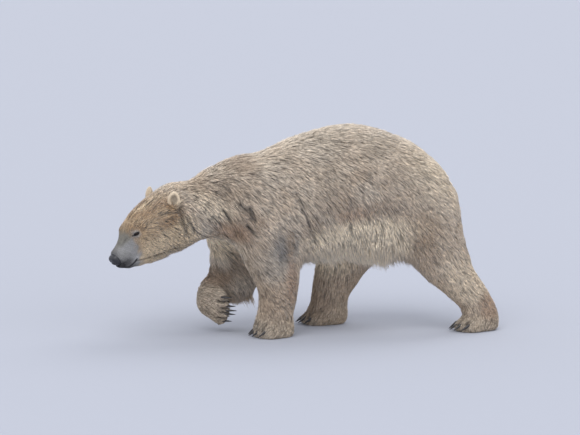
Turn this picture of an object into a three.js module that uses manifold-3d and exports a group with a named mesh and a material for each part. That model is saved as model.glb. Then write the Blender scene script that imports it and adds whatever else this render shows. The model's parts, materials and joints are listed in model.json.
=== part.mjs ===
// A polar bear, walking: a still, life-size model of a grown male, about 2.3 m from nose to heel.
//
// Millimetres. The head points to -X, +Y is the bear's right and +Z is up; the floor is Z = 0.
// The left forefoot and both hind feet are down, and the right forefoot swings past, folded at the wrist.
//
// The whole coat is one rounded form: bones with flesh, given as chains of oval stations, that melt into each
// other. Each named part is a loft whose rings are found by going out from the part's own axis to that form,
// and thin flat cuts part it from its neighbours.
import * as THREE from "three";
import { LoftGeometry } from "three/addons/geometries/LoftGeometry.js";
import { mergeVertices } from "three/addons/utils/BufferGeometryUtils.js";
import Module from "manifold-3d";

const wasm = await Module();
wasm.setup();

// ---------------------------------------------------------------- driving dimensions

const LEFT = -1; // the bear's left is -Y
const RIGHT = 1;
const GAP = 0.3; // the width of a cut between two parts
const FAR = 3000; // the size of a half-space

// The trunk and neck, from the rump forwards: place along the body, top and bottom of the coat,
// half width, sideways shift, and how much narrower the top is than the bottom.
const SPINE = [
  { x: 696, top: 990, bottom: 495, half: 206, shift: 0, egg: 0.05 },
  { x: 600, top: 1080, bottom: 425, half: 266, shift: 0, egg: 0.1 },
  { x: 460, top: 1168, bottom: 412, half: 308, shift: 0, egg: 0.14 },
  { x: 260, top: 1232, bottom: 452, half: 330, shift: 0, egg: 0.16 },
  { x: 40, top: 1182, bottom: 430, half: 322, shift: 0, egg: 0.16 },
  { x: -160, top: 1098, bottom: 422, half: 285, shift: 0, egg: 0.14 },
  { x: -340, top: 1070, bottom: 505, half: 240, shift: 0, egg: 0.12 },
  { x: -480, top: 1016, bottom: 558, half: 200, shift: -4, egg: 0.08 },
  { x: -620, top: 928, bottom: 575, half: 175, shift: -16, egg: 0.04 },
  { x: -760, top: 872, bottom: 535, half: 160, shift: -42, egg: 0 },
];

// The head hangs from a point midway between the ears, turned a little to the left.
const HEAD = { at: [-856, -60, 773], turn: 22, nod: 36.7 };
// Sections across the head: distance in front of the ears, top, bottom and half width.
const SKULL = [
  { u: -60, top: 88, bottom: -268, half: 132, egg: 0 },
  { u: 40, top: 104, bottom: -256, half: 134, egg: 0 },
  { u: 140, top: 109, bottom: -228, half: 127, egg: 0.02 },
  { u: 230, top: 91, bottom: -202, half: 99, egg: 0.06 },
  { u: 300, top: 50, bottom: -170, half: 73, egg: 0.06 },
  { u: 350, top: 30, bottom: -146, half: 59, egg: 0.04 },
  { u: 390, top: 18, bottom: -114, half: 50, egg: 0 },
  { u: 414, top: 10, bottom: -93, half: 46, egg: 0 },
];
const BROW = { u: 250, out: 44, up: 48, long: 44, wide: 27, high: 24 };
const MUZZLE_END = { u: 416, up: -30, long: 30, wide: 42, high: 34 };
const NOSE = { from: 421, top: -6, bottom: -52, half: 34 };
const EYE = { u: 268, up: 32, out: 80, radius: 13 };
const EAR = { u: -18, out: 131, up: 44, high: 54, wide: 37, thick: 18, splay: 4, back: 28, face: 46 };
const TAIL = { root: [884, 0, 832], tip: [926, 0, 700], wide: 54, thick: 28, taper: 0.65 };

// A leg: its bones' ends with half sizes across and along the body, then the foot.
const LEGS = {
  foreleg_left: {
    side: LEFT,
    flesh: [
      { at: [-330, -150, 900], across: 110, along: 170 },
      { at: [-300, -178, 720], across: 118, along: 190 },
      { at: [-255, -185, 520], across: 112, along: 178 },
      { at: [-214, -182, 390], across: 102, along: 150 },
      { at: [-196, -176, 275], across: 92, along: 122 },
      { at: [-212, -172, 160], across: 88, along: 108 },
      { at: [-225, -170, 85], across: 88, along: 108 },
    ],
    upper: {
      axis: [[-315, -95, 985], [-225, -182, 330]],
      reach: 420,
      cut: { at: [-222, -182, 385], facing: [0, 0, -1] },
    },
    lower: {
      axis: [[-226, -184, 460], [-222, -170, 60]],
      reach: 170,
      cut: { at: [-218, -170, 112], facing: [0, 0, -1] },
    },
    foot: { heel: [-122, -170, 0], toes: [-1, -0.06, 0], back: [0, 0, 1], size: "fore" },
    wedge: { from: -455, to: -30, lean: 0.21 },
  },
  foreleg_right: {
    side: RIGHT,
    flesh: [
      { at: [-410, 150, 880], across: 110, along: 165 },
      { at: [-415, 172, 720], across: 118, along: 165 },
      { at: [-412, 176, 570], across: 108, along: 158 },
      { at: [-392, 174, 430], across: 98, along: 162 },
      { at: [-352, 166, 318], across: 92, along: 126 },
      { at: [-426, 152, 280], across: 88, along: 116 },
      { at: [-495, 136, 266], across: 84, along: 92 },
      { at: [-545, 120, 238], across: 80, along: 80 },
    ],
    upper: {
      axis: [[-400, 95, 960], [-350, 172, 330]],
      reach: 400,
      cut: { at: [-390, 165, 400], facing: [-0.5, 0, -0.87] },
    },
    lower: {
      axis: [[-320, 172, 400], [-575, 110, 215]],
      reach: 190,
      cut: { at: [-478, 105, 215], facing: [-0.35, -0.6, -0.72] },
    },
    foot: {
      heel: [-578, 140, 178],
      toes: [0.63, -0.74, -0.14],
      back: [-0.73, -0.65, -0.15],
      size: "fore",
      closed: true,
    },
    wedge: { from: -800, to: -200, lean: 0 },
  },
  hindleg_left: {
    side: LEFT,
    flesh: [
      { at: [668, -150, 880], across: 110, along: 155 },
      { at: [698, -182, 740], across: 124, along: 202 },
      { at: [722, -196, 570], across: 118, along: 200 },
      { at: [800, -203, 420], across: 106, along: 160 },
      { at: [890, -205, 292], across: 94, along: 118 },
      { at: [980, -205, 195], across: 86, along: 100 },
      { at: [1035, -205, 112], across: 84, along: 90 },
    ],
    upper: {
      axis: [[690, -85, 985], [800, -205, 340]],
      reach: 460,
      cut: { at: [805, -205, 405], facing: [0.6, 0, -0.8] },
    },
    lower: {
      axis: [[740, -205, 500], [1070, -205, 60]],
      reach: 210,
      cut: { at: [1010, -205, 112], facing: [0, 0, -1] },
    },
    foot: { heel: [1120, -205, 0], toes: [-1, -0.12, 0], back: [0, 0, 1], size: "hind" },
    wedge: { from: 560, to: 1500, lean: 0.23 },
  },
  hindleg_right: {
    side: RIGHT,
    flesh: [
      { at: [640, 150, 880], across: 110, along: 165 },
      { at: [560, 182, 740], across: 124, along: 200 },
      { at: [440, 194, 600], across: 120, along: 205 },
      { at: [320, 196, 460], across: 108, along: 184 },
      { at: [252, 192, 330], across: 98, along: 154 },
      { at: [200, 187, 210], across: 88, along: 122 },
      { at: [182, 184, 105], across: 84, along: 112 },
    ],
    upper: {
      axis: [[620, 85, 985], [235, 195, 300]],
      reach: 460,
      cut: { at: [270, 195, 400], facing: [-0.3, 0, -0.95] },
    },
    lower: {
      axis: [[310, 195, 520], [185, 182, 60]],
      reach: 210,
      cut: { at: [190, 184, 112], facing: [0, 0, -1] },
    },
    foot: { heel: [285, 182, 0], toes: [-1, 0.1, 0], back: [0, 0, 1], size: "hind" },
    wedge: { from: -40, to: 1500, lean: -0.5 },
  },
};

// A foot: length from heel to toe ends, width over the toes, height of the instep, and length of a claw.
const FEET = {
  fore: { long: 240, wide: 218, high: 104, claw: 47 },
  hind: { long: 292, wide: 196, high: 100, claw: 42 },
};
// The lumps of a foot, in shares of its length, width and height: where each stands and its half sizes.
const PAD = { u: 0.5, up: 0.38, long: 0.4, wide: 0.43, high: 0.5 };
const HEEL = { u: 0.2, up: 0.42, long: 0.24, wide: 0.31, high: 0.52 };
// The toes stand side by side, apart, and the outer ones end further back.
const TOES = 5;
const TOE = { apart: 0.198, end: 0.9, back: 0.035, tip: 0.17, up: 0.32, long: 0.2, wide: 0.118, high: 0.36 };
// A claw is sunk into its toe at a height in shares of the foot's, and bends down through an angle.
const CLAW = { up: 0.36, wide: 8.5, high: 10, sink: 14, bend: 0.87, tip: 0.12, sides: 5, rings: 4 };
// In a lifted foot the claws draw together: where each stands, in shares of its toe's place.
const CLOSED = { middle: 0.3, outer: 0.28 };

// The slanted plane that parts a leg from the trunk passes through these two heights.
const WEDGE = { inner: { out: 60, up: 400 }, outer: { out: 300, up: 930 } };
// The planes that part the head from the neck and the neck from the trunk.
const NAPE = { at: [-772, -45, 700], facing: [-0.985, -0.17, 0] };
const SHOULDER = { at: [-470, 0, 760], facing: [-0.95, 0, -0.3] };

// How far forms melt into each other.
const MELT = { toes: 12, pads: 40, face: 30, nape: 70, paws: 70, body: 90 };

// How each part is lofted: its axis, the rings along it, the points round a ring, the farthest a point can
// be from the axis, and the rings of a dome over its end and its start.
const LOFTS = {
  trunk: { axis: [[-600, 0, 790], [620, 0, 790]], rings: 18, sides: 28, reach: 470, endDome: 6 },
  neck: { axis: [[-330, 0, 780], [-850, -62, 690]], rings: 9, sides: 24, reach: 340 },
  head: { rings: 17, sides: 26, reach: 330, endDome: 5, startDome: 1 },
  tail: { rings: 4, sides: 8, endDome: 2, up: [1, 0, 0] },
  upper: { rings: 11, sides: 24, up: [1, 0, 0] },
  lower: { rings: 8, sides: 16, up: [1, 0, 0] },
  foot: { rings: 5, sides: 18, endDome: 4, startDome: 2 },
};
const HEAD_START = [-705, -29, 712]; // the head's axis runs from inside the neck
const HEAD_END = { u: 412, up: -42 };
const FOOT_AXIS = { heel: { u: 0.16, up: 0.42 }, toes: { u: 0.72, up: 0.36 } }; // in shares of the foot
const EAR_HOLLOW = { share: 0.62, up: 0.1 }; // in shares of the ear

const COLOURS = {
  coat: { color: 0xc9bba0, roughness: 0.9 },
  face: { color: 0xc2a883, roughness: 0.9 },
  nose: { color: 0x23242a, roughness: 0.45 },
  eye: { color: 0x1a1310, roughness: 0.15 },
  claw: { color: 0x2c2a2b, roughness: 0.4 },
};

// ---------------------------------------------------------------- the form, as a distance to its surface

const v3 = (p) => new THREE.Vector3(...p);
const lerp = THREE.MathUtils.lerp;
const radians = THREE.MathUtils.degToRad;

// Three perpendicular directions: forwards, up as near as it can be to the one given, and to the right.
function frame(forward, up) {
  const f = v3(forward).normalize();
  const r = new THREE.Vector3().crossVectors(f, v3(up)).normalize();
  return { f, r, u: new THREE.Vector3().crossVectors(r, f) };
}

// The distance from a point to an oval section, taken along the line from its centre. A square of 2 is an
// ellipse, and more than that is boxier.
function ovalDistance(across, upwards, beyond, wide, high, egg, square) {
  const rise = upwards / (Math.abs(upwards) + Math.abs(across) + 1e-6);
  const shares = [across / (wide * (1 - egg * rise)), upwards / high, beyond / Math.min(wide, high)];
  const q = shares.reduce((sum, share) => sum + Math.abs(share) ** square, 0) ** (1 / square);
  const out = Math.hypot(across, upwards, beyond);
  return q < 1e-6 ? -Math.min(wide, high) : out * (1 - 1 / q);
}

// Flesh along a line of stations {at, wide, high, egg}, whose sections stay square to the line.
function chain(stations, sideways, square = 2) {
  const FINE = 5; // steps from one station to the next
  const path = new THREE.CatmullRomCurve3(stations.map((s) => v3(s.at)));
  const n = (stations.length - 1) * FINE;
  const links = Array.from({ length: n + 1 }, (_, i) => {
    const k = Math.min(Math.floor(i / FINE), stations.length - 2);
    const t = i / FINE - k;
    const ease = t * t * (3 - 2 * t);
    const [a, b] = [stations[k], stations[k + 1]];
    const size = (name) => lerp(a[name] ?? 0, b[name] ?? 0, ease);
    return { at: path.getPoint(i / n), wide: size("wide"), high: size("high"), egg: size("egg") };
  });
  const side = v3(sideways);
  return (p) => {
    let best = Infinity;
    for (let i = 0; i < n; i++) {
      const [a, b] = [links[i], links[i + 1]];
      const line = b.at.clone().sub(a.at);
      const length = line.length();
      line.divideScalar(length);
      const d = p.clone().sub(a.at);
      const along = d.dot(line);
      const t = THREE.MathUtils.clamp(along / length, 0, 1);
      const s = side.clone().addScaledVector(line, -side.dot(line)).normalize();
      const up = new THREE.Vector3().crossVectors(s, line);
      if (up.z < 0) up.negate();
      const beyond = along - t * length;
      const sizes = ["wide", "high", "egg"].map((name) => lerp(a[name], b[name], t));
      best = Math.min(best, ovalDistance(d.dot(s), d.dot(up), beyond, ...sizes, square));
    }
    return best;
  };
}

// A rounded lump in a frame of its own.
function lump(at, axes, long, wide, high) {
  const centre = at.clone();
  return (p) => {
    const d = p.clone().sub(centre);
    const q = Math.hypot(d.dot(axes.f) / long, d.dot(axes.r) / wide, d.dot(axes.u) / high);
    return q < 1e-6 ? -Math.min(long, wide, high) : d.length() * (1 - 1 / q);
  };
}

// Forms that melt into each other over a distance.
const melt = (forms, over) => (p) =>
  forms
    .map((form) => form(p))
    .reduce((a, b) => {
      const h = Math.max(over - Math.abs(a - b), 0) / over;
      return Math.min(a, b) - (h * h * over) / 4;
    });

// ---------------------------------------------------------------- the parts of the form

const spine = chain(
  SPINE.map(({ x, top, bottom, half, shift, egg }) => ({
    at: [x, shift, (top + bottom) / 2],
    wide: half,
    high: (top - bottom) / 2,
    egg,
  })),
  [0, 1, 0],
);

const headAxes = (() => {
  const [turn, nod] = [radians(HEAD.turn), radians(HEAD.nod)];
  const level = [-Math.cos(turn), -Math.sin(turn)];
  return frame([level[0] * Math.cos(nod), level[1] * Math.cos(nod), -Math.sin(nod)], [0, 0, 1]);
})();

// A point of the head: in front of the ears, to the right, and up.
const onHead = (u, out, up) =>
  v3(HEAD.at)
    .addScaledVector(headAxes.f, u)
    .addScaledVector(headAxes.r, out)
    .addScaledVector(headAxes.u, up);

const skull = melt(
  [
    chain(
      SKULL.map(({ u, top, bottom, half, egg }) => ({
        at: onHead(u, 0, (top + bottom) / 2).toArray(),
        wide: half,
        high: (top - bottom) / 2,
        egg,
      })),
      headAxes.r.toArray(),
      2.5,
    ),
    lump(onHead(MUZZLE_END.u, 0, MUZZLE_END.up), headAxes, MUZZLE_END.long, MUZZLE_END.wide, MUZZLE_END.high),
    ...[LEFT, RIGHT].map((s) =>
      lump(onHead(BROW.u, s * BROW.out, BROW.up), headAxes, BROW.long, BROW.wide, BROW.high),
    ),
  ],
  MELT.face,
);

// The foot's own frame: origin on the sole at the heel, forwards to the toes, up through the instep.
function footFrame({ heel, toes, back, size }) {
  const axes = frame(toes, back);
  const { long, wide, high, claw } = FEET[size];
  const at = (u, out, up) =>
    v3(heel)
      .addScaledVector(axes.f, u * long)
      .addScaledVector(axes.r, out * wide)
      .addScaledVector(axes.u, up * high);
  return { axes, at, long, wide, high, claw };
}

// The toes fan out: how far each stands from the middle, how far forward it ends, and how closed its claw is.
const toeRows = Array.from({ length: TOES }, (_, i) => {
  const row = i - (TOES - 1) / 2;
  const closed = CLOSED.middle + CLOSED.outer * Math.abs(row);
  return { out: row * TOE.apart, end: TOE.end - TOE.back * row * row, closed };
});

function footForm(foot) {
  const { axes, at, long, wide, high } = footFrame(foot);
  const round = (part, u, out) =>
    lump(at(u, out, part.up), axes, long * part.long, wide * part.wide, high * part.high);
  const toes = toeRows.map(({ out, end }) => round(TOE, end - TOE.tip, out));
  return melt([melt([round(PAD, PAD.u, 0), round(HEEL, HEEL.u, 0)], MELT.pads), ...toes], MELT.toes);
}

const legForm = (leg) =>
  chain(
    leg.flesh.map(({ at, across, along }) => ({ at, wide: across, high: along })),
    [0, 1, 0],
  );

const legForms = Object.values(LEGS).map((leg) => melt([legForm(leg), footForm(leg.foot)], MELT.paws));
const body = melt([melt([spine, skull], MELT.nape), ...legForms], MELT.body);

// ---------------------------------------------------------------- lofts and cuts

const toSolid = (geometry) => {
  const bare = new THREE.BufferGeometry();
  bare.setAttribute("position", geometry.attributes.position);
  bare.setIndex(geometry.index);
  const merged = mergeVertices(bare, 1e-3);
  return new wasm.Manifold(
    new wasm.Mesh({
      numProp: 3,
      vertProperties: merged.attributes.position.array,
      triVerts: new Uint32Array(merged.index.array),
    }),
  );
};

const toGeometry = (solid) => {
  const { vertProperties, triVerts } = solid.getMesh();
  const geometry = new THREE.BufferGeometry();
  geometry.setAttribute("position", new THREE.BufferAttribute(vertProperties, 3));
  geometry.setIndex(new THREE.BufferAttribute(triVerts, 1));
  geometry.computeVertexNormals();
  return geometry;
};

// How far the form reaches from a point inside it, in one direction.
function reachOf(form, from, direction, most) {
  const STEP = 12;
  let inside = 0;
  while (inside < most && form(from.clone().addScaledVector(direction, inside + STEP)) < 0) inside += STEP;
  if (inside >= most) return most;
  let outside = inside + STEP;
  for (let i = 0; i < 9; i++) {
    const middle = (inside + outside) / 2;
    if (form(from.clone().addScaledVector(direction, middle)) < 0) inside = middle;
    else outside = middle;
  }
  return Math.min(inside, most);
}

// A loft round a straight axis. Rings are square to the axis, and an end is domed over by rings that lean
// outwards from it.
function loft(form, { axis, rings, sides, reach = FAR, endDome = 0, startDome = 0, up = [0, 0, 1] }) {
  const [a, b] = axis.map(v3);
  const axes = frame(b.clone().sub(a).toArray(), up);
  const MOST = 0.92 * (Math.PI / 2); // the lean of the last ring of a dome
  const places = Array.from({ length: rings }, (_, i) => ({ at: i / (rings - 1), lean: 0 }));
  for (let i = 1; i <= endDome; i++) places.push({ at: 1, lean: (i / endDome) * MOST });
  for (let i = 1; i <= startDome; i++) places.unshift({ at: 0, lean: (-i / startDome) * MOST });
  const sections = places.map(({ at, lean }) => {
    const centre = a.clone().lerp(b, at);
    return Array.from({ length: sides }, (_, j) => {
      const turn = (j / sides) * 2 * Math.PI;
      const way = new THREE.Vector3()
        .addScaledVector(axes.r, Math.cos(turn) * Math.cos(lean))
        .addScaledVector(axes.u, Math.sin(turn) * Math.cos(lean))
        .addScaledVector(axes.f, Math.sin(lean));
      return centre.clone().addScaledVector(way, reachOf(form, centre, way, reach));
    }).reverse();
  });
  return toSolid(new LoftGeometry(sections, { capStart: true, capEnd: true }));
}

// A box in a frame of its own, given by its lowest and highest corners: forwards, up, and to the right.
function boxIn(axes, origin, low, high) {
  const [l, h] = [v3(low), v3(high)];
  const size = h.clone().sub(l);
  const middle = h.add(l).multiplyScalar(0.5);
  const geometry = new THREE.BoxGeometry(size.x, size.y, size.z);
  geometry.translate(middle.x, middle.y, middle.z);
  geometry.applyMatrix4(new THREE.Matrix4().makeBasis(axes.f, axes.u, axes.r).setPosition(origin));
  return toSolid(geometry);
}

// Everything in front of a plane, which is moved forwards by half the gap of a cut.
function ahead(point, normal) {
  const up = Math.abs(normal[2]) > 0.9 ? [1, 0, 0] : [0, 0, 1];
  return boxIn(frame(normal, up), v3(point), [GAP / 2, -FAR, -FAR], [FAR, FAR, FAR]);
}
const behind = (point, normal) =>
  ahead(
    point,
    normal.map((x) => -x),
  );

// The wedge that a leg takes from the trunk: outside and below a slanted plane, between two upright ones.
function legWedge({ side, wedge }, gap) {
  const { inner, outer } = WEDGE;
  const axes = frame([0, side * (outer.up - inner.up), inner.out - outer.out], [1, 0, wedge.lean]);
  const corner = v3([0, side * inner.out, inner.up]);
  return boxIn(axes, corner, [gap, wedge.from + gap, -FAR], [FAR, wedge.to - gap, FAR]);
}

const floor = ahead([0, 0, 0], [0, 0, 1]).translate([0, 0, -GAP / 2]);

// ---------------------------------------------------------------- the named parts

const bear = new THREE.Group();

function add(name, solid, material) {
  const surface = new THREE.MeshStandardMaterial({ ...material, metalness: 0 });
  const mesh = new THREE.Mesh(toGeometry(solid), surface);
  mesh.name = name;
  bear.add(mesh);
}

function addTrunk() {
  const whole = loft(body, LOFTS.trunk);
  let trunk = whole.intersect(behind(SHOULDER.at, SHOULDER.facing));
  for (const leg of Object.values(LEGS)) trunk = trunk.subtract(legWedge(leg, 0));
  const tail = chain(
    [
      { at: TAIL.root, wide: TAIL.wide, high: TAIL.thick },
      { at: TAIL.tip, wide: TAIL.wide * TAIL.taper, high: TAIL.thick * TAIL.taper },
    ],
    [0, 1, 0],
  );
  const tailSolid = loft(tail, { ...LOFTS.tail, axis: [TAIL.root, TAIL.tip] });
  add("trunk", trunk, COLOURS.coat);
  add("tail", tailSolid.subtract(trunk).translate([GAP, 0, 0]), COLOURS.coat);
}

function addNeck() {
  const whole = loft(body, LOFTS.neck);
  let cut = whole.intersect(ahead(SHOULDER.at, SHOULDER.facing)).intersect(behind(NAPE.at, NAPE.facing));
  for (const leg of Object.values(LEGS)) cut = cut.subtract(legWedge(leg, 0));
  add("neck", cut, COLOURS.coat);
}

// An ear is a thick round leaf with a hollow in its face, leaning back and outwards.
function ear(side) {
  const lean = headAxes.f.clone().multiplyScalar(-Math.sin(radians(EAR.back)));
  lean.addScaledVector(headAxes.u, Math.cos(radians(EAR.back)));
  lean.addScaledVector(headAxes.r, side * Math.sin(radians(EAR.splay))).normalize();
  const outwards = headAxes.f.clone().multiplyScalar(Math.cos(radians(EAR.face)));
  outwards.addScaledVector(headAxes.r, side * Math.sin(radians(EAR.face)));
  const axes = frame(outwards.addScaledVector(lean, -outwards.dot(lean)).toArray(), lean.toArray());
  const place = new THREE.Matrix4()
    .makeBasis(axes.f, axes.u, axes.r)
    .setPosition(onHead(EAR.u, side * EAR.out, EAR.up));
  const leaf = new THREE.SphereGeometry(1, 10, 6).scale(EAR.thick, EAR.high, EAR.wide);
  const { share, up } = EAR_HOLLOW;
  const hollow = new THREE.SphereGeometry(1, 8, 5).scale(EAR.thick, EAR.high * share, EAR.wide * share);
  hollow.translate(EAR.thick, EAR.high * up, 0);
  return toSolid(leaf.applyMatrix4(place)).subtract(toSolid(hollow.applyMatrix4(place)));
}

function addHead() {
  const muzzle = onHead(HEAD_END.u, 0, HEAD_END.up).toArray();
  let head = loft(body, { ...LOFTS.head, axis: [HEAD_START, muzzle] });
  head = head.intersect(ahead(NAPE.at, NAPE.facing));
  const { from, top, bottom, half } = NOSE;
  const noseBox = (gap) =>
    boxIn(headAxes, v3(HEAD.at), [from + gap, bottom + gap, -half + gap], [from + 200, top + 60, half - gap]);
  add("nose", head.intersect(noseBox(GAP)), COLOURS.nose);
  head = head.subtract(noseBox(0));
  for (const [name, side] of [["left", LEFT], ["right", RIGHT]]) {
    const eyeAt = onHead(EYE.u, side * EYE.out, EYE.up).toArray();
    const eyeball = (radius) => toSolid(new THREE.SphereGeometry(radius, 10, 6).translate(...eyeAt));
    add(`eye_${name}`, eyeball(EYE.radius), COLOURS.eye);
    head = head.subtract(eyeball(EYE.radius + 2 * GAP));
    const outwards = onHead(0, side, 1).sub(onHead(0, 0, 0)).setLength(GAP).toArray();
    add(`ear_${name}`, ear(side).subtract(head).translate(outwards), COLOURS.face);
  }
  add("head", head, COLOURS.face);
}

// A claw curves down and forward from the end of its toe.
function claw(foot, { out, end, closed }) {
  const { axes, at, claw: long } = footFrame(foot);
  const root = at(end, foot.closed ? out * closed : out, CLAW.up).addScaledVector(axes.f, -CLAW.sink);
  const radius = (long + CLAW.sink) / CLAW.bend;
  const sections = Array.from({ length: CLAW.rings }, (_, i) => {
    const t = i / (CLAW.rings - 1);
    const centre = root
      .clone()
      .addScaledVector(axes.f, radius * Math.sin(CLAW.bend * t))
      .addScaledVector(axes.u, -radius * (1 - Math.cos(CLAW.bend * t)));
    const girth = lerp(1, CLAW.tip, t ** 1.5);
    return Array.from({ length: CLAW.sides }, (_, j) => {
      const turn = (j / CLAW.sides) * 2 * Math.PI;
      return centre
        .clone()
        .addScaledVector(axes.r, CLAW.wide * girth * Math.cos(turn))
        .addScaledVector(axes.u, CLAW.high * girth * Math.sin(turn));
    }).reverse();
  });
  return toSolid(new LoftGeometry(sections, { capStart: true, capEnd: true }));
}

function addLeg(name, leg) {
  const { upper, lower, foot } = leg;
  const knee = [upper.cut.at, upper.cut.facing];
  const ankle = [lower.cut.at, lower.cut.facing];
  const { axes, at, wide, high } = footFrame(foot);
  const wedge = legWedge(leg, GAP);

  const thigh = loft(body, { ...LOFTS.upper, ...upper });
  add(`${name}_upper`, thigh.intersect(wedge).intersect(behind(...knee)), COLOURS.coat);

  const shank = loft(body, { ...LOFTS.lower, ...lower });
  const cutShank = shank.intersect(wedge).intersect(ahead(...knee)).intersect(behind(...ankle));
  add(`${name}_lower`, cutShank, COLOURS.coat);

  const axis = [FOOT_AXIS.heel, FOOT_AXIS.toes].map(({ u, up }) => at(u, 0, up).toArray());
  const whole = loft(body, { ...LOFTS.foot, axis, reach: (wide + high) / 2, up: axes.u.toArray() });
  const paw = whole.intersect(ahead(...ankle)).intersect(floor);
  add(`${name}_foot`, paw, COLOURS.coat);
  toeRows.forEach((toe, i) => {
    const pieces = claw(foot, toe).subtract(paw).decompose();
    const shown = pieces.reduce((a, b) => (b.volume() > a.volume() ? b : a));
    const clear = axes.f.clone().setLength(GAP).toArray();
    add(`${name}_claw_${i + 1}`, shown.translate(clear).intersect(floor), COLOURS.claw);
  });
}

addTrunk();
addNeck();
addHead();
for (const [name, leg] of Object.entries(LEGS)) addLeg(name, leg);

// The origin is on the floor, at the middle of the model's box.
const box = new THREE.Box3().setFromObject(bear);
bear.position.set(-(box.min.x + box.max.x) / 2, -(box.min.y + box.max.y) / 2, -box.min.z);

export default bear;
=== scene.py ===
"""A polar bear, walking: the looks of the still model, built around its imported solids.

One skin stands for all the flesh. It is the solids' own form, made smooth, drawn in by the depth of the
coat, and sculpted at the head and the toes. Over it lie the coat's tufts, as joined meshes of thin curved
locks. Eyes, nose and claws are pieces of their own. Everything is in metres: the head points to -X, +Y is
the bear's right and the floor is Z = 0.
"""

import json
import math
from contextlib import contextmanager

import bmesh
import bpy
import numpy as np
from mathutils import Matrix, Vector
from mathutils.bvhtree import BVHTree
from mathutils.kdtree import KDTree


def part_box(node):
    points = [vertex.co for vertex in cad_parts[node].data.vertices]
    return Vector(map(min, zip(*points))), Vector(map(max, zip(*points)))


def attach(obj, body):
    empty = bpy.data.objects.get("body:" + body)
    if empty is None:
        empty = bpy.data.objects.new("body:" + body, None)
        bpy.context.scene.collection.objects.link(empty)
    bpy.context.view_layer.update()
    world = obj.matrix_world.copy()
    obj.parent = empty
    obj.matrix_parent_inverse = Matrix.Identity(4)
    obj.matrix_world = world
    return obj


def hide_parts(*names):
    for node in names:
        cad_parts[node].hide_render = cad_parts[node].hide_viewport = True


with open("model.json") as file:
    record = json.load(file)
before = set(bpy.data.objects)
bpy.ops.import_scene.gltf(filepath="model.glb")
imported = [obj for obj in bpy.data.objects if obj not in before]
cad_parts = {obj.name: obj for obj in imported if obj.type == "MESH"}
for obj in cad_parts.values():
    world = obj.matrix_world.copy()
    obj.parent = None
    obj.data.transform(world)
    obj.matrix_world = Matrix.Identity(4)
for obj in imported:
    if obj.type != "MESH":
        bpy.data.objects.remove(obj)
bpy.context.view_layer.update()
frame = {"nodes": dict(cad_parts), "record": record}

# ---------------------------------------------------------------- sizes and places

LEFT, RIGHT = -1, 1
SIDES = {"left": LEFT, "right": RIGHT}
LEGS = ("foreleg_left", "foreleg_right", "hindleg_left", "hindleg_right")
LIFTED = "foreleg_right"
CLAWS = 5

VOXEL = 0.009  # the skin's mesh on the body; the head's and the toes' are finer
SEAM = 0.0005  # how far the solids swell so that the cuts between them close
INSET_STEPS = 4  # the skin is drawn in by the coat's depth in so many steps
PRICK = 0.80  # the skin is pricked where the cosine between its normal and those around is under this
SHADE_UNDER_TUFTS = 0.62  # how bright the skin between the tufts is, beside their own colours: painted shade deep in the coat

COAT_TUFTS = 146000  # about so many in all
LOCK = 5  # tufts drawn together into one lock, on average
LOCK_REACH = 0.16  # a tip goes sideways towards its lock by at most this share of its length
LOCK_PULL = (0.14, 0.45)  # how much of that way the middle and the tip of a tuft go
SHADE_STRANDS = {"share": 0.09, "tone": 0.45, "width": 0.65}  # the dark strands among the tufts: painted shade between the locks
PROUD = {"share": 0.07, "lift": 1.45}  # the tufts that stand a little proud of the others
LENGTHS, WIDTHS, LIFTS = (0.62, 1.25), (0.70, 1.25), (0.55, 1.0)  # how far tufts differ in these
TRIED = (1.0, 0.75, 0.5, 0.3)  # at these shares of its length a tuft must not reach an open line
VARIED = {"tuft": 0.34, "streak": 0.04, "point": 0.18}  # how far each changes the colour, up and down
HALF, REST = 0.45, 0.55  # a tuft's two stretches, as shares of its length
LYING = (0.66, 0.86)  # how high its middle and tip lie, as shares of the coat's depth
# A hanging tuft's middle and tip: how far along, how high and how far down, as shares of length, depth
# and length.
HANGING = ((0.45, 0.60, 0.14), (0.70, 0.80, 0.60))
THICK = 0.42  # a tuft's thickness as a share of its width
ROOTED = 0.004  # how deep its root sits in the skin
FLOOR_GAP = 0.0012  # the tufts stay this far above the floor
STEEP = 0.020  # tufts follow the skin no further than this from the straight
PIECE_TUFTS = 18500  # at most this many tufts in one piece, so that it stays under 200,000 triangles

# The head turns and nods by these angles. Its frame's origin is midway between the ears, and the eyes'
# middle is this far forward of it and up.
TURN, NOD = math.radians(22), math.radians(36.7)
EYE_FORWARD, EYE_UP = 0.268, 0.032

EAR = {"forward": -0.020, "out": 0.133, "up": 0.045, "high": 0.053, "wide": 0.034, "thick": 0.015}
EAR_LEAN = {"splay": math.radians(4), "back": math.radians(36), "face": math.radians(46)}
EAR_HOLLOW = 0.6  # how deep the cup is, in thicknesses
EAR_BACK = EAR_HOLLOW + 0.45  # how far the ear's back bulges, in thicknesses

# The eye's opening along its two axes, and how far the ball sits behind its node's centre.
EYE_OPEN = (0.0118, 0.0052)
EYE_SINK = 0.0065
LID = 0.0020  # how thick the lids are
# The dark corner in front of the eye: its middle and half sizes.
DUCT = (0.0255, -0.0040)
DUCT_SIZE = (0.0130, 0.0036)

NOSE_AT, NOSE_SIZE = np.array([0.432, 0.0, -0.032]), np.array([0.031, 0.038, 0.032])

# The line of the mouth, from its corner to the middle, on one side of the head.
MOUTH = (
    (0.343, 0.062, -0.091),
    (0.362, 0.058, -0.101),
    (0.386, 0.052, -0.107),
    (0.410, 0.041, -0.106),
    (0.430, 0.024, -0.096),
    (0.438, 0.000, -0.086),
)


def unit(v):
    v = np.asarray(v, float)
    return v / np.maximum(np.linalg.norm(v, axis=-1, keepdims=True), 1e-12)


def srgb(red, green, blue):
    """A colour as it is seen, 0 to 255, in the linear numbers that shaders take."""
    c = np.array([red, green, blue]) / 255
    return np.where(c <= 0.04045, c / 12.92, ((c + 0.055) / 1.055) ** 2.4)


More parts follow.
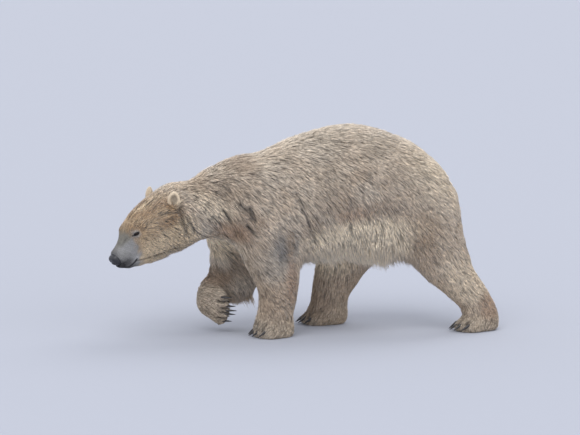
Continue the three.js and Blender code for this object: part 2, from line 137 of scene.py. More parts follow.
def step(low, high, x):
    """0 below low, 1 above high, and smooth between."""
    t = np.clip((x - low) / (high - low), 0, 1)
    return t * t * (3 - 2 * t)


def mix(a, b, share):
    """From a to b. One share for each place goes with whole colours and directions too."""
    a, b, share = (np.asarray(x, float) for x in (a, b, share))
    if share.ndim == 1 and 3 in (*a.shape[-1:], *b.shape[-1:]):
        share = share[:, None]
    return a * (1 - share) + b * share


def square_to(ways, normals):
    """The part of a way that is square to its normal, for one of each or for many."""
    return ways - normals * (ways * normals).sum(-1, keepdims=True)


def layered(colour, *layers):
    """A colour, or another value, with others laid over it in turn, each with its share."""
    for other, share in layers:
        colour = mix(colour, other, share)
    return colour


def waves(points, size, seed):
    """Smooth noise from about -1 to 1, with bumps of about the given size."""
    count = 9
    rng = np.random.default_rng(seed)
    ways = unit(rng.normal(size=(count, 3))) * rng.uniform(0.7, 1.5, (count, 1))
    return np.sin(points @ ways.T * (2 * math.pi / size) + rng.uniform(0, 6.3, count)).mean(1) * 2


def grain(points, size, seed):
    """Rough noise from -1 to 1, in cells of the given size."""
    table = np.random.default_rng(seed).uniform(-1, 1, 4096)
    cells = points / size
    low = np.floor(cells).astype(np.int64)
    share = cells - low
    total = np.zeros(len(points))
    for corner in np.ndindex(2, 2, 2):
        x, y, z = (low + corner).T
        picked = table[(x * 73856093 ^ y * 19349663 ^ z * 83492791) & 4095]
        total += picked * np.where(corner, share, 1 - share).prod(1)
    return total


def streaks(points, ways, size, reach, seed):
    """Noise drawn out along the hair, so that it runs in fine lines, with a spread of about 1."""
    steps = np.linspace(-reach, reach, 9)
    total = sum(grain(points + ways * s, size, seed) for s in steps)
    return total / total.std()


def middle(node):
    """The middle of a solid's box."""
    low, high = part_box(node)
    return np.array((low + high) / 2)


# ---------------------------------------------------------------- the head's frame

UP, BACK = np.array([0.0, 0.0, 1.0]), np.array([1.0, 0.0, 0.0])
DOWN = -UP
AHEAD = np.array([-math.cos(TURN), -math.sin(TURN), 0.0])  # level, the way the head is turned
FORWARD = AHEAD * math.cos(NOD) - UP * math.sin(NOD)
OUT = unit(np.cross(FORWARD, UP))  # to the bear's right
RISE = np.cross(OUT, FORWARD)
HEAD_AXES = np.array([FORWARD, OUT, RISE])
eyes_middle = (middle("eye_left") + middle("eye_right")) / 2
HEAD_AT = eyes_middle - FORWARD * EYE_FORWARD - RISE * EYE_UP


def in_head(points):
    """Forward of the ears, out to the bear's right, and up."""
    return (points - HEAD_AT) @ HEAD_AXES.T


def from_head(places):
    """The other way: places in the world for places in the head's frame."""
    return np.asarray(places) @ HEAD_AXES + HEAD_AT


# ---------------------------------------------------------------- meshes as arrays


def read(items, name, width=3, kind=float):
    """One property of all the items, as rows of the given width."""
    values = np.empty(len(items) * width, kind)
    items.foreach_get(name, values)
    return values.reshape(-1, width)


def new_object(name, data):
    """A new object in the scene, for a mesh, a light or a camera."""
    piece = bpy.data.objects.new(name, data)
    bpy.context.scene.collection.objects.link(piece)
    return piece


def triangle_mesh(name, points, triangles):
    """A mesh of triangles, made from arrays at once."""
    mesh = bpy.data.meshes.new(name)
    mesh.vertices.add(len(points))
    mesh.vertices.foreach_set("co", np.asarray(points, np.float32).ravel())
    mesh.loops.add(triangles.size)
    mesh.loops.foreach_set("vertex_index", triangles.astype(np.int32).ravel())
    mesh.polygons.add(len(triangles))
    mesh.polygons.foreach_set("loop_start", np.arange(0, triangles.size, 3, dtype=np.int32))
    mesh.update(calc_edges=True)
    mesh.validate()
    return mesh


def set_points(mesh, points):
    mesh.vertices.foreach_set("co", np.asarray(points, np.float32).ravel())
    mesh.update()


COLOUR_LAYER = "coat"  # the name of a mesh's own colours


def colour_points(mesh, colours):
    attribute = mesh.color_attributes.new(COLOUR_LAYER, "FLOAT_COLOR", "POINT")
    values = np.ones((len(colours), 4), np.float32)
    values[:, :3] = colours
    attribute.data.foreach_set("color", values.ravel())


def face_vectors(points, triangles):
    """A vector square to each triangle, twice as long as the triangle's area."""
    a, b, c = (points[triangles[:, i]] for i in range(3))
    return np.cross(b - a, c - a)


def point_normals(points, triangles):
    """The normal at each point, from the triangles round it by their areas."""
    faces = face_vectors(points, triangles)
    sums = np.zeros_like(points)
    for i, k in np.ndindex(3, 3):
        sums[:, k] += np.bincount(triangles[:, i], faces[:, k], len(points))
    return unit(sums)


@contextmanager
def opened(mesh):
    """The mesh as a shape that bmesh can change, written back at the end."""
    shape = bmesh.new()
    shape.from_mesh(mesh)
    yield shape
    shape.to_mesh(mesh)
    shape.free()


def face_outwards(mesh):
    """Turns every face of a closed mesh outwards."""
    with opened(mesh) as shape:
        bmesh.ops.recalc_face_normals(shape, faces=shape.faces)


def smooth_shaded(mesh):
    mesh.polygons.foreach_set("use_smooth", np.ones(len(mesh.polygons), bool))


def tree_of(points):
    """A tree that finds the nearest of the points; it answers with the point's number."""
    tree = KDTree(len(points))
    for i, point in enumerate(points):
        tree.insert(point, i)
    tree.balance()
    return lambda places: np.array([tree.find(p)[1] for p in places])


def gauss(x, width):
    """1 at 0, and falling smoothly to nothing within about twice the width."""
    return np.exp(-((x / width) ** 2))


def applied(piece):
    """A piece's mesh with its modifiers carried out."""
    graph = bpy.context.evaluated_depsgraph_get()
    return bpy.data.meshes.new_from_object(piece.evaluated_get(graph))


class Surface:
    """A mesh's points, triangles and edges as arrays, with what is worked out from them."""

    def __init__(self, mesh):
        self.mesh = mesh
        self.points = read(mesh.vertices, "co")
        self.edges = read(mesh.edges, "vertices", 2, np.int32)
        mesh.calc_loop_triangles()
        self.triangles = read(mesh.loop_triangles, "vertices", 3, np.int32)
        count = len(self.points)
        ends = self.edges.ravel()
        self.degree = np.maximum(np.bincount(ends, minlength=count), 1)

    def around(self, values):
        """The mean of each point's neighbours."""
        a, b = self.edges.T
        count = len(self.points)
        columns = values.reshape(count, -1)
        sums = [
            np.bincount(a, columns[b, i], count) + np.bincount(b, columns[a, i], count)
            for i in range(columns.shape[1])
        ]
        return (np.stack(sums, 1) / self.degree[:, None]).reshape(values.shape)

    def spread(self, values, rounds, share=0.5):
        for _ in range(rounds):
            values = values + (self.around(values) - values) * share
        return values

    def relax(self, rounds, strength):
        for _ in range(rounds):
            self.points = mix(self.points, self.around(self.points), 0.5 * strength)

    def normals(self):
        return point_normals(self.points, self.triangles)

    def swell(self, amount):
        """Moves each point outwards, or inwards where the amount is under 0."""
        self.points = self.points + self.normals() * amount[:, None]

    def save(self):
        set_points(self.mesh, self.points)


# ---------------------------------------------------------------- the skin's first form

SLOTS = {part["node"]: part["material_slot"] for part in frame["record"]["subparts"]}
FLESH = sorted(
    node for node, slot in SLOTS.items() if slot in ("coat", "face") and not node.startswith("ear")
)


def welded(node):
    """A solid's points and triangles, with each corner one point, swollen a little."""
    mesh = frame["nodes"][node].data
    mesh.calc_loop_triangles()
    points = read(mesh.vertices, "co")
    triangles = read(mesh.loop_triangles, "vertices", 3, np.int32)
    _, first, same = np.unique(np.round(points, 5), axis=0, return_index=True, return_inverse=True)
    points, triangles = points[first], same.ravel()[triangles]
    return points + point_normals(points, triangles) * SEAM, triangles


def joined_solids(nodes):
    """The points and triangles of several solids in one, and the number of each triangle's solid."""
    points, triangles, owners, total = [], [], [], 0
    for index, node in enumerate(nodes):
        corners, faces = welded(node)
        points.append(corners)
        triangles.append(faces + total)
        owners.append(np.full(len(faces), index))
        total += len(corners)
    return np.concatenate(points), np.concatenate(triangles), np.concatenate(owners)


def one_skin():
    """One closed mesh round all the flesh, made finer at the head and the toes, and its Belonging."""
    points, triangles, _ = joined_solids([*FLESH, "nose"])
    rough = new_object("rough", triangle_mesh("rough", points, triangles))
    remesh = rough.modifiers.new("voxels", "REMESH")
    remesh.mode = "VOXEL"
    remesh.voxel_size = VOXEL
    mesh = applied(rough)
    bpy.data.objects.remove(rough)
    belonging = Belonging(Surface(mesh))

    with opened(mesh) as shape:
        for wanted in FINER:
            shape.faces.ensure_lookup_table()
            centres = np.array([f.calc_center_median() for f in shape.faces])
            chosen = np.flatnonzero(wanted(centres))
            edges = {e for i in chosen for e in shape.faces[i].edges}
            bmesh.ops.subdivide_edges(shape, edges=list(edges), cuts=1, use_grid_fill=True)
    return mesh, belonging


EYES = {side: in_head(middle(f"eye_{name}")) for name, side in SIDES.items()}
eye_low, eye_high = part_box("eye_left")
EYE_RADIUS = (eye_high - eye_low).x / 2


def from_eye(points):
    """How far each point is from the nearer eye."""
    places = in_head(points)
    return np.minimum(*(np.linalg.norm(places - EYES[s], axis=1) for s in SIDES.values()))


def from_claws(points):
    """How far each point is from the nearest claw's root."""
    roots = np.array([root for leg in LEGS for root, _ in claw_ends(leg)])
    return np.linalg.norm(points[:, None] - roots[None], axis=2).min(1)


# Where the skin's mesh is made finer, one after the other, each time halving its edges.
FINER = (
    lambda points: in_head(points)[:, 0] > -0.09,  # the head
    lambda points: from_claws(points) < 0.085,  # the toes
    lambda points: in_head(points)[:, 0] > 0.20,  # the face
    lambda points: from_eye(points) < 0.034,  # round the eyes
)


# What each part of the flesh wears: the coat's depth, and a tuft's length, width and share of the tufts
# for its area.
WORN = {
    "trunk": (0.018, 0.060, 0.0048, 1.0),
    "neck": (0.018, 0.060, 0.0048, 1.1),
    "head": (0.010, 0.036, 0.0036, 2.2),
    "tail": (0.012, 0.044, 0.0048, 1.2),
    "upper": (0.016, 0.054, 0.0048, 1.1),
    "lower": (0.012, 0.042, 0.0044, 1.3),
    "foot": (0.007, 0.024, 0.0038, 1.8),
}
WORN_EAR = (0.0015, 0.007, 0.0028, 5.0)
KINDS = [n if n in WORN else n.rsplit("_", 1)[1] for n in FLESH]
WORN_TABLE = np.array([WORN[kind] for kind in KINDS])


def part_weights(skin):
    """How much each point of the first skin belongs to each of the flesh nodes, changing smoothly."""
    corners, triangles, owners = joined_solids(FLESH)
    tree = BVHTree.FromPolygons(corners.tolist(), triangles.tolist())
    nearest = owners[[tree.find_nearest(Vector(p))[2] for p in skin.points]]
    weights = np.zeros((len(nearest), len(FLESH)))
    weights[np.arange(len(nearest)), nearest] = 1
    return skin.spread(weights, 90, 0.9)


class Belonging:
    """The weights of the first skin's points, ready to be asked for anywhere near it."""

    def __init__(self, skin):
        self.weights = part_weights(skin)
        self.nearest = tree_of(skin.points)

    def at(self, skin):
        return skin.spread(self.weights[self.nearest(skin.points)], 5, 0.9)


def share_of(weights, *names):
    """The joint weight of all the nodes with these names or of these kinds."""
    chosen = [i for i, n in enumerate(FLESH) if n in names or KINDS[i] in names]
    return weights[:, chosen].sum(1)


def ear_centre(side):
    """The middle of an ear, in the head's frame."""
    return np.array([EAR["forward"], side * EAR["out"], EAR["up"]])


def ear_shell(side):
    """An object: a cupped leaf with a thick rolled rim, whose base is inside the head."""
    across, lean, facing = ear_axes(side) @ HEAD_AXES
    centre = from_head(ear_centre(side))
    rings, sides = 12, 48
    turn = np.arange(sides) / sides * 2 * math.pi

    def ring(share, front):
        rise = np.sin(turn)
        wide = EAR["wide"] * (1 - 0.18 * np.clip(-rise, 0, 1))
        x, y = wide * np.cos(turn) * share, EAR["high"] * rise * share
        crown = math.sqrt(max(1 - share * share, 0))
        if front:
            rim = step(0.50, 0.80, np.full(sides, share))
            z = EAR["thick"] * (1.15 * crown * rim - EAR_HOLLOW * (1 - rim))
        else:
            z = np.full(sides, -EAR["thick"] * crown * EAR_BACK)
        z = z + 0.60 * EAR["thick"] * (x / EAR["wide"]) ** 2
        return centre + x[:, None] * across + y[:, None] * lean + z[:, None] * facing

    shares = np.sin(np.linspace(0, math.pi / 2, rings + 1)[1:])
    layers = [(s, False) for s in shares] + [(s, True) for s in shares[-2::-1]]
    back = centre - facing * EAR["thick"] * EAR_BACK
    front = centre - facing * EAR["thick"] * EAR_HOLLOW
    points = np.concatenate([back[None], *(ring(*layer) for layer in layers), front[None]])
    faces = []
    last = len(layers) - 1
    for j in range(sides):
        k = (j + 1) % sides
        faces.append((0, 1 + k, 1 + j))
        faces.append((1 + last * sides + j, 1 + last * sides + k, len(points) - 1))
        for i in range(last):
            a, b = 1 + i * sides, 1 + (i + 1) * sides
            faces.append((a + j, a + k, b + k))
            faces.append((a + j, b + k, b + j))
    mesh = triangle_mesh("ear", points, np.array(faces))
    face_outwards(mesh)
    return new_object("ear", mesh)


def with_ears(mesh):
    """The skin joined with the two ears into one closed surface."""
    body = new_object("skin_body", mesh)
    for side in SIDES.values():
        ear = ear_shell(side)
        joint = body.modifiers.new("ear", "BOOLEAN")
        joint.operation, joint.solver, joint.object = "UNION", "MANIFOLD", ear
        made = applied(body)
        body.modifiers.clear()
        bpy.data.objects.remove(ear)
        body.data = made
    result = body.data
    bpy.data.objects.remove(body)
    return result


def ear_axes(side):
    """Across the ear, up it and the way its hollow faces, in the head's frame."""
    lean = unit([-math.sin(EAR_LEAN["back"]), side * math.sin(EAR_LEAN["splay"]), math.cos(EAR_LEAN["back"])])
    facing = np.array([math.cos(EAR_LEAN["face"]), side * math.sin(EAR_LEAN["face"]), 0.0])
    facing = unit(square_to(facing, lean))
    return np.array([np.cross(lean, facing), lean, facing])


def ear_places(places, side):
    """Places as shares of the ear's width and height, and as depth towards its face."""
    local = (places - ear_centre(side)) @ ear_axes(side).T
    return local / [EAR["wide"], EAR["high"], EAR["thick"]]


def ear_share(places):
    """1 on an ear and 0 away from it."""
    near = np.zeros(len(places))
    for side in SIDES.values():
        x, y, z = ear_places(places, side).T
        inside = 1 - step(1.05, 1.25, np.sqrt((x * 0.96) ** 2 + (y * 0.96) ** 2))
        near = np.maximum(near, inside * step(-0.55, -0.25, y) * (np.abs(z + 0.2) < 2.2))
    return near


def from_ear(places):
    """How far places are from the middle of the nearer ear, with the ears themselves left out."""
    return np.linalg.norm(one_sided(places) - ear_centre(RIGHT), axis=1) + ear_share(places)


def hollow_share(places):
    """1 in the hollow of an ear."""
    near = np.zeros(len(places))
    for side in SIDES.values():
        x, y, z = ear_places(places, side).T
        inside = 1 - step(0.42, 0.66, np.hypot(x, y))
        near = np.maximum(near, inside * (z > -1.3) * (z < 0.9) * (y > -0.6))
    return near


# ---------------------------------------------------------------- sculpting


def one_sided(places):
    """The head's places, with the two sides laid on each other."""
    return places * [1, 0, 1] + np.abs(places) * [0, 1, 0]


def bump(places, at, size, amount):
    """How far one of HEAD_BUMPS raises each place."""
    spread = ((one_sided(places) - np.array(at)) / np.array(size)) ** 2
    return amount * np.exp(-spread.sum(1))


def line_distance(places, line):
    """How far each place is from a line of straight stretches, and how far along it is, 0 to 1."""
    line = np.asarray(line, float)
    best = np.full(len(places), np.inf)
    along = np.zeros(len(places))
    for i, (a, b) in enumerate(zip(line[:-1], line[1:])):
        share = np.clip((places - a) @ (b - a) / ((b - a) @ (b - a)), 0, 1)
        distance = np.linalg.norm(places - a - share[:, None] * (b - a), axis=1)
        along = np.where(distance < best, (i + share) / (len(line) - 1), along)
        best = np.minimum(best, distance)
    return best, along


def from_mouth(places):
    """How far places are from the line of the mouth."""
    return line_distance(one_sided(places), MOUTH)[0]


def eye_axes(side):
    """Along the opening towards the nose, up across it, and outwards."""
    outward = unit([0.36, side * 0.86, 0.36])
    along = unit(square_to(unit([0.84, -side * 0.45, 0.24]), outward))
    upwards = np.cross(outward, along) * -side
    return np.array([along, upwards, outward])


def eye_centre(side):
    return EYES[side] - eye_axes(side)[2] * EYE_SINK


def in_eye(places, side):
    """Places along the eye's axes, from its centre."""
    return (places - eye_centre(side)) @ eye_axes(side).T


def almond(x, y):
    """Under 1 inside the opening of the lids, which droops at the front."""
    wide, high = EYE_OPEN
    y = y + 0.0016 * (x / wide)
    return np.sqrt((x / wide) ** 2 * 0.75 + (y / high) ** 2 + 0.25 * (x / wide) ** 4)


# Swellings and hollows of the head, alike on both sides: the middle, the size and the height of each.
HEAD_BUMPS = (
    ((0.272, 0.058, 0.060), (0.034, 0.020, 0.016), 0.006),  # brow
    ((0.292, 0.078, 0.034), (0.036, 0.026, 0.024), -0.007),  # eye socket
    ((0.215, 0.112, -0.020), (0.050, 0.040, 0.034), 0.007),  # cheekbone
    ((0.335, 0.066, -0.004), (0.045, 0.026, 0.026), -0.005),  # side of the muzzle
    ((0.412, 0.044, -0.052), (0.030, 0.022, 0.026), 0.005),  # whisker pad
    ((0.300, 0.075, -0.090), (0.060, 0.030, 0.030), 0.004),  # behind the corner of the mouth
    ((0.405, 0.020, -0.112), (0.030, 0.026, 0.020), 0.003),  # chin
    ((0.060, 0.095, 0.070), (0.070, 0.040, 0.040), 0.004),  # before the ear
)
TOE_CUTS = ((0.011, 0.009), (0.0045, 0.008))  # width and depth of the grooves: a wide one, a narrow one in it


def sculpt_head(skin):
    """The head's swellings, the line of the mouth, the nose's bed and the openings of the eyes."""
    places = in_head(skin.points)
    on_head = step(-0.12, -0.04, places[:, 0])
    rise = sum(bump(places, *one) for one in HEAD_BUMPS)
    furrow = gauss(places[:, 1], 0.010) * step(0.06, 0.16, places[:, 0])
    rise -= furrow * (1 - step(0.30, 0.36, places[:, 0])) * step(0.0, 0.03, places[:, 2]) * 0.004
    skin.swell(rise * on_head)

    distance = from_mouth(in_head(skin.points))
    groove = -0.0060 * gauss(distance, 0.0030)
    lips = 0.0024 * gauss(distance - 0.0068, 0.0034)
    skin.swell(groove + lips)
    bed_nose(skin)
    for side in SIDES.values():
        open_eye(skin, side)


def from_nose(places):
    """How far places are from the nose pad's middle; its own surface is at 1."""
    return np.linalg.norm((places - NOSE_AT) / NOSE_SIZE, axis=1)


def bed_nose(skin):
    """Tapers the muzzle's end towards the nose pad, and draws the skin in under the pad."""
    places = in_head(skin.points)
    ring = np.hypot(*((places - NOSE_AT) / NOSE_SIZE).T[1:])
    furthest = NOSE_AT[0] + 0.006 - 0.034 * np.maximum(ring - 0.9, 0)
    above = step(-0.080, -0.050, places[:, 2])
    over = np.maximum(places[:, 0] - furthest, 0) * above
    places[:, 0] -= over * step(0.0, 0.004, over)
    reach = from_nose(places)
    wanted = mix(np.minimum(reach, 0.86), reach, step(0.98, 1.20, reach))
    places = NOSE_AT + (places - NOSE_AT) * (wanted / np.maximum(reach, 1e-6))[:, None]
    skin.points = from_head(places)
    skin.relax(30, step(1.10, 1.25, reach) * (1 - step(1.9, 2.4, reach)) * above)


def from_duct(x, y):
    """Under 1 in the dark corner in front of the eye."""
    return np.hypot((x - DUCT[0]) / DUCT_SIZE[0], (y - DUCT[1]) / DUCT_SIZE[1])


def open_eye(skin, side):
    """Lids that rest on the eyeball round its opening, with a fold above them."""
    local = in_eye(in_head(skin.points), side)
    x, y, z = local.T
    out = np.hypot(x, y)
    near = (out < 0.045) & (z > -0.03)
    # The lids follow the ball out to an edge, and run down from there in a slope.
    ball = EYE_RADIUS + LID
    dome = np.sqrt(np.maximum(ball**2 - out**2, 0))
    edge = 0.72 * ball
    rim = math.sqrt(ball**2 - edge**2)
    skirt = np.where(out < edge, dome, rim - 0.45 * (out - edge))
    opening = almond(x, y)
    fold = 0.0012 * gauss(opening - 1.25, 0.16)
    crease = -0.0016 * gauss(opening - 2.1, 0.22) * (y > 0)
    lidded = soft_max(np.minimum(z, ball + 0.001), skirt, 0.003) + fold + crease
    # Within the opening the skin lies behind the ball's front.
    inside = np.sqrt(np.maximum(EYE_RADIUS**2 - out**2, 0)) - 0.006
    target = mix(inside, lidded, step(0.92, 1.06, opening))
    share = np.where(near, 1 - step(0.020, 0.036, out), 0)
    local[:, 2] = mix(z, target, share)
    moved = from_head(local @ eye_axes(side) + eye_centre(side))
    skin.points = np.where(near[:, None], moved, skin.points)


def soft_max(a, b, over):
    """The larger of the two, with the change from one to the other made round."""
    near = np.maximum(over - np.abs(a - b), 0) / over
    return np.maximum(a, b) + near * near * over / 4


def claw_ends(leg):
    """The root and tip of each claw of a foot, from its solids: the tip is furthest from the foot."""
    ends = []
    for i in range(CLAWS):
        points = read(frame["nodes"][f"{leg}_claw_{i + 1}"].data.vertices, "co")
        home = middle(f"{leg}_foot")
        far = points[np.argmax(np.linalg.norm(points - home, axis=1))]
        near = points[np.linalg.norm(points - far, axis=1) > 0.62 * np.ptp(points, axis=0).max()]
        ends.append((near.mean(0), far))
    return ends


def toe_gaps(points, width):
    """1 in the grooves between the toes and 0 away from them."""
    gaps = np.zeros(len(points))
    for leg in LEGS:
        ends = claw_ends(leg)
        roots = np.array([root for root, _ in ends])
        home = middle(f"{leg}_foot")
        near = np.linalg.norm(points - roots.mean(0), axis=1) < 0.16
        for a, b in zip(range(CLAWS - 1), range(1, CLAWS)):
            start = (roots[a] + roots[b]) / 2
            ahead = unit(np.mean([ends[i][1] - ends[i][0] for i in (a, b)], axis=0))
            row = unit(square_to(unit(roots[b] - roots[a]), ahead))
            offset = points[near] - start
            behind = -(offset @ ahead)
            reach = step(-0.06, -0.01, behind) * (1 - step(0.040, 0.080, behind))
            cut = gauss(offset @ row, width) * reach
            above = points[near, 2] > home[2] - 0.02 if leg != LIFTED else True
            gaps[near] = np.maximum(gaps[near], cut * above)
    return gaps


def sculpt_toes(skin, weights):
    """Rounded toes with grooves between them."""
    on_foot = share_of(weights, "foot")
    for width, depth in TOE_CUTS:
        skin.swell(-toe_gaps(skin.points, width) * on_foot * depth)


# ---------------------------------------------------------------- colours, markings and painted light and shade

CREAM = srgb(221, 210, 195)
TAN = srgb(190, 166, 140)
GREY_FUR = srgb(182, 168, 150)
PALE = srgb(246, 230, 204)
FACE_TAN = srgb(150, 119, 82)
FACE_PALE = srgb(208, 187, 155)
MUZZLE_GREY = srgb(140, 139, 139)
MUZZLE_OLIVE = srgb(122, 117, 104)
DARK_SKIN = srgb(38, 37, 40)
BROWN = srgb(130, 104, 82)
RUST = srgb(158, 116, 84)
BLUE_GREY = srgb(84, 87, 92)

# Soft patches of another colour: the middle, half sizes, turn in the side view, the colour and how strong.
# Those marked so are painted light or shade, not the coat's own colour.
PATCHES = (
    ((-0.448, -0.24, 0.635), (0.110, 0.14, 0.055), 15, RUST, 0.50),  # throat side
    ((-0.520, -0.20, 0.600), (0.100, 0.12, 0.045), 15, BROWN, 0.10),
    ((-0.148, -0.29, 0.545), (0.085, 0.10, 0.090), 35, BLUE_GREY, 0.62),  # blue-grey patch at the elbow
    ((-0.116, -0.29, 0.528), (0.034, 0.10, 0.046), 35, BLUE_GREY * 0.7, 0.95),
    ((-0.185, -0.29, 0.430), (0.070, 0.10, 0.110), 50, BLUE_GREY, 0.30),
    ((-0.105, -0.24, 0.340), (0.035, 0.12, 0.120), 0, RUST, 0.45),  # back of the forearm
    ((-0.120, -0.24, 0.560), (0.030, 0.12, 0.090), 0, TAN, 0.60),
    ((-0.190, -0.20, 0.950), (0.100, 0.25, 0.070), 0, CREAM, 0.34),  # top of the shoulders
    ((-0.450, -0.05, 1.040), (0.150, 0.30, 0.070), 20, BROWN, 0.26),
    ((-0.350, -0.15, 1.010), (0.085, 0.25, 0.060), 15, BROWN, 0.30),
    ((-0.700, -0.12, 0.920), (0.130, 0.25, 0.090), 15, FACE_TAN, 0.28),  # nape
    ((-0.360, -0.27, 0.660), (0.085, 0.14, 0.110), 0, BROWN, 0.42),  # upper arm
    ((-0.620, -0.19, 0.630), (0.070, 0.14, 0.050), 15, CREAM, 0.65),  # throat
    ((-0.610, -0.19, 0.840), (0.080, 0.16, 0.060), 10, BROWN, 0.20),
    ((-0.300, -0.27, 0.520), (0.060, 0.14, 0.060), 0, BROWN, 0.22),
    ((-0.060, -0.30, 0.890), (0.090, 0.16, 0.090), 0, CREAM, 0.34),  # behind the shoulder
    ((-0.330, 0.15, 0.270), (0.080, 0.14, 0.060), 0, CREAM, 0.60),  # painted light under the lifted forearm, where it lies in shade
    ((0.030, -0.30, 0.630), (0.080, 0.14, 0.070), 0, BROWN, 0.42),  # before the belly
    ((0.250, -0.30, 0.750), (0.260, 0.16, 0.090), 10, BROWN, 0.30),  # flank
    ((0.330, -0.30, 0.850), (0.090, 0.16, 0.060), 0, CREAM, 0.40),
    ((0.270, -0.33, 0.700), (0.110, 0.12, 0.060), 0, RUST, 0.34),
    ((0.560, -0.30, 0.780), (0.150, 0.16, 0.160), -20, BROWN, 0.24),  # haunch
    ((0.690, -0.27, 0.635), (0.100, 0.20, 0.090), 10, FACE_TAN, 0.36),
    ((0.700, -0.27, 0.510), (0.080, 0.20, 0.070), 0, FACE_TAN, 0.22),
    ((0.560, -0.22, 0.520), (0.060, 0.14, 0.050), 0, PALE, 0.50),
    ((0.400, -0.20, 1.070), (0.100, 0.22, 0.080), -10, GREY_FUR, 0.40),  # rump
    ((0.310, -0.24, 0.590), (0.290, 0.20, 0.100), -6, PALE, 1.00),  # belly: pale fur, with painted light from below
    ((0.310, 0.24, 0.570), (0.270, 0.20, 0.080), -6, PALE, 0.60),
    ((0.300, 0.00, 0.480), (0.340, 0.30, 0.090), 0, PALE, 0.90),
    ((0.690, -0.26, 0.470), (0.075, 0.14, 0.130), -30, BROWN, 0.28),  # painted shade on the front of the thigh
    ((0.960, -0.26, 0.300), (0.150, 0.16, 0.120), 40, PALE, 0.50),  # shank
    ((1.090, -0.24, 0.150), (0.070, 0.16, 0.080), 0, RUST, 0.45),  # heel
    ((-0.560, -0.20, 0.780), (0.130, 0.16, 0.060), 35, PALE, 0.40),  # neck side
    ((-0.786, -0.20, 0.670), (0.044, 0.09, 0.080), 10, BROWN, 0.80),  # behind the cheek
    ((-0.812, -0.19, 0.790), (0.024, 0.06, 0.034), 0, RUST, 0.80),  # before the ear
    ((-0.960, -0.12, 0.800), (0.110, 0.30, 0.060), -30, RUST, 0.18),
    ((-0.470, 0.15, 0.430), (0.070, 0.14, 0.100), 0, CREAM, 0.80),  # painted light on the top of the lifted leg, in shade under the chest
    ((-0.470, 0.05, 0.510), (0.130, 0.22, 0.085), 0, PALE, 1.00),  # painted light on the chest, from below
    ((0.230, 0.19, 0.410), (0.140, 0.14, 0.120), 0, PALE, 0.95),  # painted light on the top of the far hind leg, in shade under the belly
    ((0.120, 0.20, 0.130), (0.110, 0.14, 0.090), 0, BROWN, 0.40),
    ((-0.500, 0.16, 0.320), (0.110, 0.18, 0.060), 10, BROWN, 0.60),  # lifted forearm: wet brown fur, with painted shade
    ((-0.190, -0.24, 0.200), (0.100, 0.16, 0.110), 0, BROWN, 0.28),
    ((-0.500, -0.15, 0.880), (0.160, 0.22, 0.070), 15, BROWN, 0.22),
)

# The crease along the jaw, on one side of the head, from the corner of the mouth back. It is sunk and painted
# with shade like the folds.
JAW = (
    (0.357, 0.064, -0.106),
    (0.292, 0.086, -0.140),
    (0.228, 0.096, -0.164),
    (0.162, 0.098, -0.188),
    (0.095, 0.096, -0.214),
)

# A shallow crease along the side of the bridge of the nose, on one side, painted dark as shade.
MUZZLE_CREASE = ((0.325, 0.040, 0.034), (0.375, 0.038, 0.026), (0.420, 0.034, 0.014))

# Folds and cuts in the coat: the points of each line, its width, depth and darkness, which is painted shade
# in its crease. lay_folds puts finer lines that lie on the skin in their place, and adds the creases along
# the jaw.
FOLDS = [
    (((-0.085, -0.290, 0.860), (-0.030, -0.310, 0.720), (0.040, -0.265, 0.540)), 0.0115, 0.010, 0.66),
    (((-0.752, -0.195, 0.790), (-0.738, -0.207, 0.690), (-0.706, -0.180, 0.612)), 0.013, 0.010, 0.88),
    (((-0.735, -0.205, 0.760), (-0.690, -0.205, 0.680), (-0.640, -0.190, 0.610)), 0.010, 0.006, 0.72),
    (((-0.418, -0.256, 0.800), (-0.386, -0.275, 0.767)), 0.012, 0.006, 0.92),
    (((-0.362, -0.284, 0.770), (-0.340, -0.294, 0.710)), 0.015, 0.008, 0.97),
    (((-0.381, -0.278, 0.670), (-0.342, -0.288, 0.638)), 0.013, 0.007, 0.95),
    (((-0.560, -0.195, 0.720), (-0.515, -0.200, 0.655)), 0.009, 0.006, 0.78),
    (((-0.505, -0.21, 0.760), (-0.470, -0.22, 0.700)), 0.009, 0.004, 0.78),
]


def lay_folds(skin):
    """Draws the folds, and the jaw's crease on both sides, onto the skin."""
    normals = skin.normals()
    # The jaw's crease: its line, width, depth and the darkness of its painted shade.
    jaws = [(from_head(np.array(JAW) * [1, side, 1]), 0.0055, 0.003, 0.55) for side in SIDES.values()]
    laid = []
    for line, width, depth, crease_shade in [*FOLDS, *jaws]:
        line = np.array(line, float)
        steps = np.linspace(0, len(line) - 1, 4 * len(line) - 3)
        fine = np.stack([np.interp(steps, np.arange(len(line)), line[:, i]) for i in range(3)], 1)
        for k, place in enumerate(fine):
            nearest = np.linalg.norm(skin.points - place, axis=1).argmin()
            normal = normals[nearest]
            fine[k] = place - normal * ((place - skin.points[nearest]) @ normal)
        laid.append((fine, width, depth, crease_shade))
    FOLDS[:] = laid


def patch_share(points, at, size, turn):
    """1 in the middle of a patch and 0 outside it, with an uneven edge."""
    offset = points - np.array(at)
    cosine, sine = math.cos(math.radians(turn)), math.sin(math.radians(turn))
    x, y, z = offset.T
    x, z = x * cosine - z * sine, x * sine + z * cosine
    reach = np.sqrt((x / size[0]) ** 2 + (y / size[1]) ** 2 + (z / size[2]) ** 2)
    reach = reach + 0.16 * waves(points, 0.05, 5) + 0.08 * waves(points, 0.018, 6)
    return 1 - step(0.55, 1.45, reach)


def fold_share(points, line, width):
    return gauss(line_distance(points, line)[0], width)


def nearest_fold(points):
    """The share of the strongest fold at each point, and the way it runs."""
    best, ways = np.zeros(len(points)), np.zeros((len(points), 3))
    for line, width, _, _ in FOLDS:
        share = fold_share(points, line, width)
        _, along = line_distance(points, line)
        stretch = np.minimum((along * (len(line) - 1)).astype(int), len(line) - 2)
        ways = np.where((share > best)[:, None], unit(line[stretch + 1] - line[stretch]), ways)
        best = np.maximum(best, share)
    return best, ways


def fold_depth(points):
    """How far the folds draw the skin in at each point."""
    return sum(depth * fold_share(points, line, width * 1.5) for line, width, depth, _ in FOLDS)


